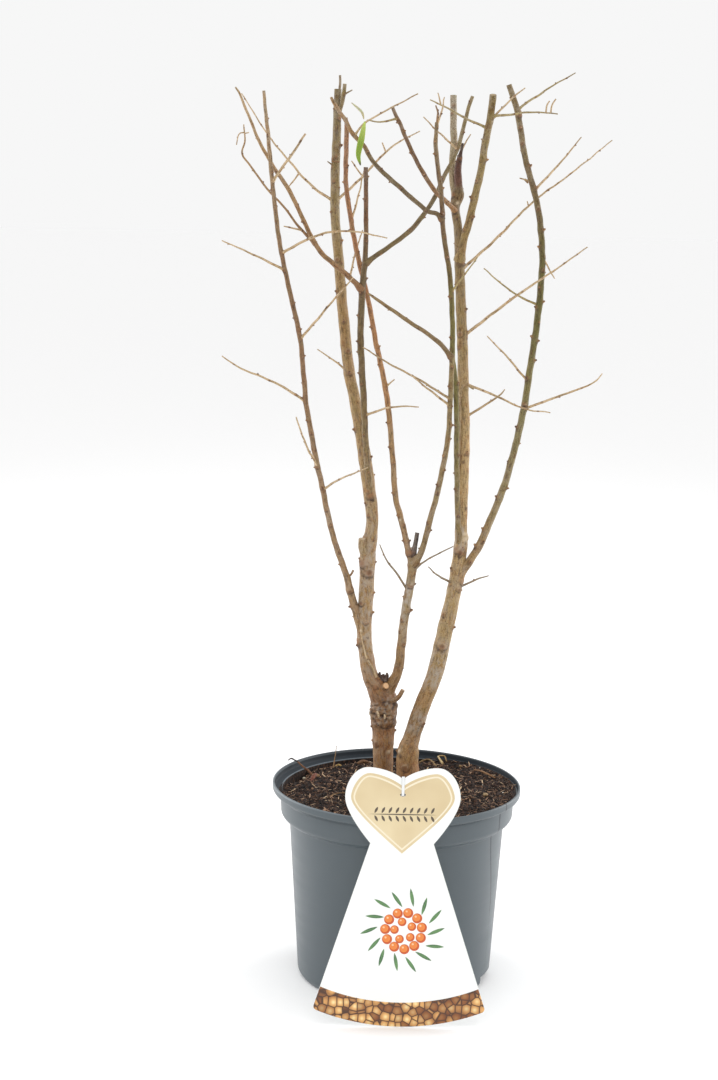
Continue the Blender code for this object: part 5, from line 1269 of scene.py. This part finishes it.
def growShrub(shrub, sweep, setBuds, bud, bark, cut, budFinish):
    # the same seed fixes the buds' places and the stems' wander
    draws = random.Random(shrub["seed"])
    noise.seed_set(shrub["seed"])
    palette = tones[shrub["name"]]
    lowest, highest = wood["knuckleSpan"]
    routes, groupOf = {}, {}
    strands, knots = ({group: [] for group in wood["sides"]} for _ in range(2))
    buds = []
    plans = [("leader", None, None, shrub["leader"], "Leader")]
    for name, parent, height, radius, points in shrub["stems"]:
        plans.append((name, (parent, height, radius), None, points, "Stems"))
    for i, (parent, height, radius, tip, colour, points) in enumerate(shrub["twigs"]):
        tapered = [(*point, radius + (tip - radius) * (k + 1) / len(points)) for k, point in enumerate(points)]
        plans.append((f"twig{i}", (parent, height, radius), colour, tapered, "Twigs"))
    for i, (colour, radius, tip, points) in enumerate(shrub["spurs"]):
        tapered = [(*point, radius + (tip - radius) * k / (len(points) - 1)) for k, point in enumerate(points)]
        plans.append((f"spur{i}", None, colour, tapered, "Twigs"))
    for name, joint, colour, points, group in plans:
        rootThick = 0.0
        if joint:
            parent, height, radius = joint
            root = atHeight([Vector((*spot, thick)) for spot, thick, _ in routes[parent]], height)
            rootThick = root.w
            way = Vector(points[0][:3]) - root.to_3d()
            seat, outward, along = seatOn(routes[parent], nearestStep(routes[parent], height), way)
            # each joint gets a bud-like swelling, with a painted shadow below it
            knots[groupOf[parent]].append((seat, outward, along, 1.3 * radius + 0.6, 0.25 * radius, "bud"))
            points = [(*root.to_3d(), radius)] + points
        route = growRoute(points, rootThick, draws, group)
        routes[name], groupOf[name] = route, group
        stops = palette.get(name) or [(0, tones["twigs"][colour])]
        for height, side, radius in shrub["scars"].get(name, []):
            seat = seatOn(route, nearestStep(route, height), seenFrom(side))
            knots[group].append((*seat, radius, 0.32 * radius, "scar"))
        for kind, marks in shrub["lumps"].get(name, []):
            for height, side, radius, rise in marks:
                seat = seatOn(route, nearestStep(route, height), seenFrom(side))
                knots[group].append((*seat, radius, rise, kind))
        spots = []
        placed = shrub["buds"].get(name, [])
        for i, aim, size in budSpots(route, placed, wood["spacing"][group], draws, rootThick + 4.0):
            onKnuckle = group == "Leader" and lowest < route[i][0].z < highest
            if route[i][0].z < wood["budsFrom"] or (onKnuckle and size < wood["knuckleBud"]):
                continue
            seat, outward, along = seatOn(route, i, aim)
            small = size * wood["budScale"]
            spots.append((i, aim, size))
            knots[group].append((seat, outward, along, 1.7 * small, 0.35 * small, "bud"))
            buds.append((seat - outward * 0.25 * small, (outward + along * 0.4).normalized(), small))
        gnarlAt = knuckleRoughness if (name == "leader" and shrub["name"] == "left") else None
        silver = film[shrub["name"]].get(name, film["other"])
        strands[group].append(toStrand(route, spots, stops, silver, gnarlAt))
    for group in strands:
        piece = pathObject(shrub["name"] + group, strands[group])
        runTree(piece, sweep, {"Sides": wood["sides"][group], "Bark depth": wood["barkDepth"], "Bark": bark,
                               "Cut": cut})
        raiseKnots(piece, knots[group])
        place(piece, "bark", shrub["node"])
    mesh = bpy.data.meshes.new(shrub["name"] + "Buds")
    mesh.from_pydata([seat * mm for seat, _, _ in buds], [], [])
    aims = mesh.attributes.new("aim", "FLOAT_VECTOR", "POINT")
    aims.data.foreach_set("vector", [value for _, aim, _ in buds for value in aim])
    sizes = mesh.attributes.new("size", "FLOAT", "POINT")
    sizes.data.foreach_set("value", [size * mm for _, _, size in buds])
    piece = newObject(mesh.name, mesh)
    runTree(piece, setBuds, {"Bud": bud, "Material": budFinish})
    place(piece, "bark")


def makeFinds(sweep, finish):
    strands = []
    for colour, points in finds.values():
        travelled = 0.0
        route = smoothRoute(points, 1.2)
        strand = []
        tint = (*toLinear(colour)[:3], 0.0)
        for i, point in enumerate(route):
            travelled += (point.to_3d() - route[max(0, i - 1)].to_3d()).length
            strand.append((point.to_3d(), point.w, travelled, 0.25 * point.w * mm, tint))
        strands.append(strand)
    for across, depth, size, colour in chips:
        height = soilHeight(across, depth) + 0.7 * size
        tint = (*toLinear(colour)[:3], 0.0)
        rounding = [(-1.0, 0.3), (-0.7, 0.7), (0.0, 0.9), (0.6, 0.75), (1.1, 0.25)]
        strands.append([(Vector((across + t * size, depth + 0.3 * t * size, height)), size * wide,
                         (t + 1) * size, 0.3 * size * mm, tint) for t, wide in rounding])
    piece = pathObject("soilFinds", strands)
    runTree(piece, sweep, {"Sides": 10, "Bark depth": 0.25, "Bark": finish, "Cut": finish})
    raiseKnots(piece, [])
    place(piece, "soil")


def knuckleRoughness(height):
    middle, reach, depth = wood["knuckle"]
    return depth * math.exp(-((height - middle) / reach) ** 4)


def makeShrubs():
    sweep, setBuds, bud = sweepTree(), budTree(), budShape()
    # bud scales: rust to dark brown, a little glossier than the bark
    scales = mottled("budScales", 0.55, 500.0, 3.0, [(0.38, "#4e3524"), (0.55, "#85603f"), (0.66, "#a88358")])
    finishes = (barkMaterial(), cutMaterial(), scales)
    for shrub in (leftShrub, rightShrub):
        growShrub(shrub, sweep, setBuds, bud, *finishes)
    makeFinds(sweep, finishes[0])


leaves = {
    "hangingLeaf": {"node": "green_leaf", "slot": "leaf_green", "halfWidth": 2.6, "fold": 0.35,
                    "route": [(-39.6, -57.6, 759.6), (-42.2, -60, 746), (-44.6, -61.5, 733),
                              (-42.6, -62.5, 724)],
                    "blade": "#789428", "edge": "#90a63a", "top": "#b3c263", "tip": "#4d4a22"},
    "silveryLeaf": {"node": "silvery_leaf", "slot": "leaf_silver", "halfWidth": 1.1, "fold": 0.5,
                    "route": [(-40.4, -57.4, 761.6), (-42.6, -58, 767.5), (-51, -59.5, 774.8)],
                    "blade": "#b0b08f", "edge": "#c9c9b0", "top": "#b4a77c", "tip": "#bdb9a0"},
}


def leafMaterial(name, leaf):
    # narrow leaf: paler rib and upper end, drying edges and a brown tip
    material, tree, shader = startMaterial(name + "Blade", 0.5)
    sheetMap = addNode(tree, "ShaderNodeUVMap", {"uv_map": "blade"})
    parts = addNode(tree, "ShaderNodeSeparateXYZ", {"Vector": sheetMap})
    colour = addNode(tree, "ShaderNodeValToRGB", {
        "stops": [(0.45, leaf["blade"]), (0.95, leaf["edge"])], "Fac": (parts, "X")})
    ends = [addNode(tree, "ShaderNodeValToRGB", {
            "stops": [(0.05, "#ffffff"), (0.5, "#000000")], "Fac": (parts, "Y")}),
            addNode(tree, "ShaderNodeValToRGB", {
                "stops": [(0.9, "#000000"), (0.97, "#ffffff")], "Fac": (parts, "Y")}),
            addNode(tree, "ShaderNodeValToRGB", {
                "stops": [(0.03, "#a0a0a0"), (0.09, "#000000")], "Fac": (parts, "X")})]
    for share, tint in zip(ends, (leaf["top"], leaf["tip"], leaf["top"])):
        colour = addNode(tree, "ShaderNodeMix", {
            "data_type": "RGBA", "Factor_Float": share, "A_Color": colour, "B_Color": toLinear(tint)})
    fillSockets(tree, shader, {"Base Color": colour, "Subsurface Weight": 0.15, "Subsurface Scale": 0.5 * mm})
    return material


def makeLeaves():
    for name, leaf in leaves.items():
        route = smoothRoute([(*point, 0) for point in leaf["route"]], 0.9)
        data = bmesh.new()
        layer = data.loops.layers.uv.new("blade")
        rows = []
        for i, point in enumerate(route):
            share = i / (len(route) - 1)
            width = max(0.3, leaf["halfWidth"] * math.sin(math.pi * (0.05 + 0.92 * share)) ** 0.75)
            ahead = route[min(i + 1, len(route) - 1)].to_3d() - route[max(0, i - 1)].to_3d()
            along = ahead.normalized()
            sideways = along.cross(Vector((0.25, -1, 0.1))).normalized()
            raised = sideways.cross(along).normalized()
            row = []
            for k in range(-4, 5):
                side = k / 4
                curl = leaf["fold"] * width * abs(side) ** 1.4 + 0.12 * math.sin(share * 21 + side)
                spot = point.to_3d() + sideways * width * side + raised * curl
                row.append((data.verts.new(spot * mm), side, share))
            rows.append(row)
        for low, high in zip(rows, rows[1:]):
            for k in range(8):
                corners = [low[k], low[k + 1], high[k + 1], high[k]]
                face = data.faces.new([corner[0] for corner in corners])
                for loop, (_, side, share) in zip(face.loops, corners):
                    loop[layer].uv = (abs(side), share)
        piece = fromBmesh(name, data, leafMaterial(name, leaf))
        solid = piece.modifiers.new("thickness", "SOLIDIFY")
        solid.thickness = 0.45 * mm
        solid.offset = 0
        bake(piece)
        place(piece, leaf["slot"], leaf["node"])


label = {
    "thickness": 0.8, "height": 223.0, "across": 3.0, "toe": -132.7, "toeHeight": 0.3, "halfHeart": 49.0,
    "heartMiddle": 197.5, "footRadius": 197.0, "notch": 213.0, "waist": (27.0, 158.0), "corner": (74.0, 14.5),
    "cornerRound": 3.0, "hole": (2.4, 1.4, 199.8), "tieWidth": 2.4, "tieThickness": 0.7, "gap": 0.3,
    "white": "#f4f6f3", "cream": "#d8c399", "creamPale": "#e4d2aa", "creamLine": "#f1e6cc",
    "ornament": "#5a4f42", "bandGap": "#4e2f1a", "bandGround": "#ad7640", "bandPebble": "#e2aa64",
    "bandShine": "#f7dc9e", "pebbles": 155.0, "fruit": "#c9551c", "fruitLit": "#e98538", "shine": "#f7c79a",
    "leaf": "#3a623f", "leafLit": "#638d58", "bandInner": 176.0, "bandTop": 33.8, "bandInset": (0.2, 0.15),
    "ornamentAt": 183.0, "inkLift": 0.04, "motif": (2.8, 83.0), "motifFruit": 11, "motifRing": 15.8,
}


def splineThrough(curve, knots):
    spline = curve.splines.new("BEZIER")
    spline.bezier_points.add(len(knots) - 1)
    for knot, (spot, left, right) in zip(spline.bezier_points, knots):
        knot.handle_left_type = knot.handle_right_type = "FREE"
        knot.co = (spot[0] * mm, spot[1] * mm, 0)
        knot.handle_left = ((spot[0] + left[0]) * mm, (spot[1] + left[1]) * mm, 0)
        knot.handle_right = ((spot[0] + right[0]) * mm, (spot[1] + right[1]) * mm, 0)
    spline.use_cyclic_u = True


def mirrored(half):
    return [tuple((-x, y) for x, y in (spot, right, left)) for spot, left, right in reversed(half)]


def turnKnots(entries, centre, turn):
    knots = []
    for entry in entries:
        (x, y), *handles = [(x * math.cos(turn) - y * math.sin(turn), x * math.sin(turn) + y * math.cos(turn))
                            for x, y in entry]
        knots.append(((x + centre[0], y + centre[1]), *handles))
    return knots


def ovalKnots(centre, wide, tall):
    bendX, bendY = 0.5523 * wide, 0.5523 * tall
    quarters = ((1, 0, 0, -1), (0, 1, 1, 0), (-1, 0, 0, 1), (0, -1, -1, 0))
    return turnKnots([((x * wide, y * tall), (a * bendX, b * bendY), (-a * bendX, -b * bendY))
                      for x, y, a, b in quarters], centre, 0.0)


def cardOutline():
    cornerX, cornerY = label["corner"]
    run = Vector((cornerX, cornerY - label["footRadius"]))
    pull = run.length * math.asin(cornerX / run.length) / 3 * 1.02
    side = (Vector(label["waist"]) - Vector(label["corner"])).normalized() * label["cornerRound"]
    along = Vector((-run.y, run.x)).normalized() * -label["cornerRound"]
    half = [
        ((cornerX + along.x, cornerY + along.y), (along.x * 7, along.y * 7), (-along.x / 2, -along.y / 2)),
        ((cornerX + side.x, cornerY + side.y), (-side.x / 2, -side.y / 2), (side.x, side.y)),
        (label["waist"], (0.5, -1.5), (9.0, 10.5)),
        ((label["halfHeart"], label["heartMiddle"]), (0, -11), (0, 12)),
        ((29.5, label["height"]), (11.5, 0), (-9, 0)),
    ]
    toe, notch = ((0, 0), (-pull, 0), (pull, 0)), ((0, label["notch"]), (7.0, 6.2), (-7.0, 6.2))
    return [toe] + half + [notch] + mirrored(half)


def heartKnots(inset):
    wide, top = label["halfHeart"] - inset, label["height"] - inset
    half = [
        ((wide, label["heartMiddle"]), (0.3, -13 + inset * 0.4), (0, 12 - inset)),
        ((28.5, top), (11.5 - inset * 0.6, 0), (-9 + inset * 0.3, 0)),
    ]
    point = ((0, 143.0 + 1.3 * inset), (-14, 12.5), (14, 12.5))
    notch = ((0, label["notch"] - 1.25 * inset), (6.5, 6.0), (-6.5, 6.0))
    return [point] + half + [notch] + mirrored(half)


def bandKnots():
    # the band fills the card's foot and shares its rounded corners
    foot, cornerOne, cornerTwo = cardOutline()[:3]
    cornerX, cornerY = label["corner"]
    slope = (label["waist"][0] - cornerX) / (label["waist"][1] - cornerY)
    inset, raised = label["bandInset"]
    edgeX = cornerX + slope * (label["bandTop"] - cornerY) - inset
    run = Vector((edgeX, label["bandTop"] - label["footRadius"]))
    pull = label["bandInner"] * math.asin(edgeX / run.length) / 3
    turn = Vector((-run.y, run.x)).normalized() * pull
    half = [((x - inset, y + raised), before, after) for (x, y), before, after in (cornerOne, cornerTwo)]
    half.append(((edgeX, label["bandTop"]), (0.5, -1.5), (-turn.x, -turn.y)))
    top = ((0, label["footRadius"] - label["bandInner"]), (pull, 0), (-pull, 0))
    return [((0, raised), *foot[1:])] + half + [top] + mirrored(half)


def labelPlane():
    contact = pot["height"] - 1.0
    rise = Vector((0, -(pot["lipRadius"] + label["gap"] + 0.1) - label["toe"], contact)).normalized()
    across = Vector((1, 0, 0))
    facing = across.cross(rise)
    plane = Matrix((across, rise, facing)).transposed().to_4x4()
    middle = Vector((label["across"], label["toe"], label["toeHeight"])) + facing * label["thickness"] / 2
    plane.translation = middle * mm
    return plane


def flatPiece(name, outlines, thickness, lift, material, resolution=14):
    curve = bpy.data.curves.new(name, "CURVE")
    curve.dimensions = "2D"
    curve.fill_mode = "BOTH"
    curve.extrude = thickness / 2 * mm
    curve.resolution_u = resolution
    for outline in outlines:
        splineThrough(curve, outline)
    obj = bpy.data.objects.new(name, curve)
    bpy.context.scene.collection.objects.link(obj)
    piece = bake(obj)
    data = bmesh.new()
    data.from_mesh(piece.data)
    bmesh.ops.remove_doubles(data, verts=data.verts, dist=0.000002)
    bmesh.ops.recalc_face_normals(data, faces=data.faces)
    data.to_mesh(piece.data)
    data.free()
    piece.data.transform(labelPlane() @ Matrix.Translation((0, 0, lift * mm)))
    piece.data.materials.clear()
    piece.data.materials.append(material)
    return piece


def inkMaterial(name, colour, second=None, scale=60.0):
    # offset ink under a clear varnish: flat colour with a faint mottle
    return mottled(name, 0.32, scale, 2.0, [(0.35, colour), (0.65, second or colour)], coat=0.15)


def bandMaterial():
    # foot band: a print of gold and brown pebbles with dark gaps
    material, tree, shader = startMaterial("printedBand", 0.32)
    coords = addNode(tree, "ShaderNodeTexCoord")
    cells, edges = [
        addNode(tree, "ShaderNodeTexVoronoi", {
            "feature": feature, "Scale": label["pebbles"], "Randomness": 0.8, "Vector": (coords, "Object")})
        for feature in ("F1", "DISTANCE_TO_EDGE")]
    chance = addNode(tree, "ShaderNodeSeparateColor", {"Color": (cells, "Color")})
    domed, shade, gap = [
        addNode(tree, "ShaderNodeValToRGB", {"stops": stops, "Fac": source})
        for source, stops in (
            (cells, [(0.1, label["bandShine"]), (0.4, label["bandPebble"]), (0.75, label["bandGround"])]),
            ((chance, "Red"), [(0.2, "#a5866c"), (0.7, "#ffffff")]),
            (edges, [(0.03, "#ffffff"), (0.1, "#000000")]))]
    varied = addNode(tree, "ShaderNodeMix", {
        "data_type": "RGBA", "blend_type": "MULTIPLY", "Factor_Float": 1.0, "A_Color": domed, "B_Color": shade})
    final = addNode(tree, "ShaderNodeMix", {
        "data_type": "RGBA", "Factor_Float": gap, "A_Color": varied, "B_Color": toLinear(label["bandGap"])})
    fillSockets(tree, shader, {"Base Color": final, "Coat Weight": 0.15})
    return material


def leafKnots(centre, long, wide, turn):
    # a leaf pointed at both ends
    pull, bulge = 0.6 * long, 1.33 * wide
    ends = [((-long, 0), (pull, -bulge), (pull, bulge)), ((long, 0), (-pull, bulge), (-pull, -bulge))]
    return turnKnots(ends, centre, turn)


def motifOutlines():
    # plain wreath: an even ring of round fruit, a few inside it, and narrow leaves swept round it
    middleX, middleY = label["motif"]
    ring, count = label["motifRing"], label["motifFruit"]
    spots = [(ring, 2 * math.pi * i / count + 0.2, 4.3) for i in range(count)]
    spots += [(0.5 * ring, 2 * math.pi * i / 5 + 0.5, 3.7) for i in range(5)]
    fruit, lit, shines, blades, ribs = [], [], [], [], []
    for reach, angle, size in spots:
        x, y = middleX + reach * math.cos(angle), middleY + reach * math.sin(angle)
        fruit.append(ovalKnots((x, y), size, size))
        lit.append(ovalKnots((x - 0.12 * size, y + 0.14 * size), 0.74 * size, 0.74 * size))
        shines.append(ovalKnots((x - 0.3 * size, y + 0.35 * size), 0.2 * size, 0.2 * size))
    for i in range(count + 3):
        angle = 2 * math.pi * i / (count + 3)
        reach = ring + 11.8 + 2.0 * (i % 2)
        centre = (middleX + reach * math.cos(angle), middleY + reach * math.sin(angle))
        blades.append(leafKnots(centre, 8.0, 1.5, angle + 0.4))
        ribs.append(leafKnots(centre, 7.0, 0.3, angle + 0.4))
    return fruit, lit, shines, blades, ribs


def ornamentOutlines():
    # a plain row of leaf pairs on a stalk, across the heart
    middle = label["ornamentAt"]
    stalk = leafKnots((0, middle), 29.0, 0.5, 0.0)
    pairs = []
    for i in range(-4, 5):
        for side in (1, -1):
            pairs.append(leafKnots((6.0 * i + 1.6, middle + 3.6 * side), 3.0, 1.05, 1.1 * side))
    return [stalk] + pairs


def makeLabel():
    card = flatPiece("labelCard", [cardOutline(), ovalKnots((0, label["hole"][2]), *label["hole"][:2])],
                     label["thickness"], 0.0, inkMaterial("coatedCard", label["white"]))
    place(card, "label_card", "plant_label")
    fruit, lit, shines, blades, ribs = motifOutlines()
    hole = ovalKnots((0, label["hole"][2]), label["hole"][0] + 0.1, label["hole"][1] + 0.1)
    inks = [
        ("labelHeart", [heartKnots(5.0), hole],
         inkMaterial("creamInk", label["cream"], label["creamPale"], 25.0), 0),
        ("labelHeartLine", [heartKnots(7.0), heartKnots(8.4)],
         inkMaterial("paleCreamInk", label["creamLine"]), 1),
        ("labelOrnament", ornamentOutlines(), inkMaterial("brownInk", label["ornament"]), 1),
        ("labelBand", [bandKnots()], bandMaterial(), 0),
        ("labelFruit", fruit, inkMaterial("fruitInk", label["fruit"]), 0),
        ("labelFruitLit", lit, inkMaterial("fruitLitInk", label["fruitLit"]), 1),
        ("labelShine", shines, inkMaterial("shineInk", label["shine"]), 2),
        ("labelBlades", blades, inkMaterial("leafInk", label["leaf"], label["leafLit"], 120.0), 0),
        ("labelRibs", ribs, inkMaterial("ribInk", label["leafLit"]), 1),
    ]
    for name, outlines, material, layer in inks:
        lift = label["thickness"] / 2 + label["inkLift"] * (0.5 + layer)
        place(flatPiece(name, outlines, label["inkLift"], lift, material), "label_card")


def makeTie():
    slack = 0.4
    low, high = label["hole"][2] - 0.2, label["notch"] + 1.2 + slack
    halfGap = label["thickness"] / 2 + slack
    loops = []
    for extra in (0.0, label["tieThickness"]):
        wide, middle, tall, soft = halfGap + extra, (low + high) / 2, (high - low) / 2 + extra, 0.5 + extra / 2
        corners = [(wide, middle - tall + soft), (wide, middle + tall - soft), (wide - soft, middle + tall),
                   (soft - wide, middle + tall), (-wide, middle + tall - soft), (-wide, middle - tall + soft),
                   (soft - wide, middle - tall), (wide - soft, middle - tall)]
        loops.append([(corner, (0, 0), (0, 0)) for corner in corners])
    material = inkMaterial("whiteStrap", "#eef0f0")
    tie = flatPiece("labelTie", loops, label["tieWidth"], 0.0, material, 1)
    plane = labelPlane()
    turn = Matrix(((0, 0, 1), (0, 1, 0), (-1, 0, 0))).to_4x4()
    tie.data.transform(plane @ turn @ plane.inverted())
    place(tie, "tie_plastic", "label_tie")


print("camera and studio")
makeCamera()
makeStudio()
print("pot")
makePot()
print("soil")
makeSoil()
print("shrubs")
makeShrubs()
print("leaves")
makeLeaves()
print("label")
makeLabel()
makeTie()
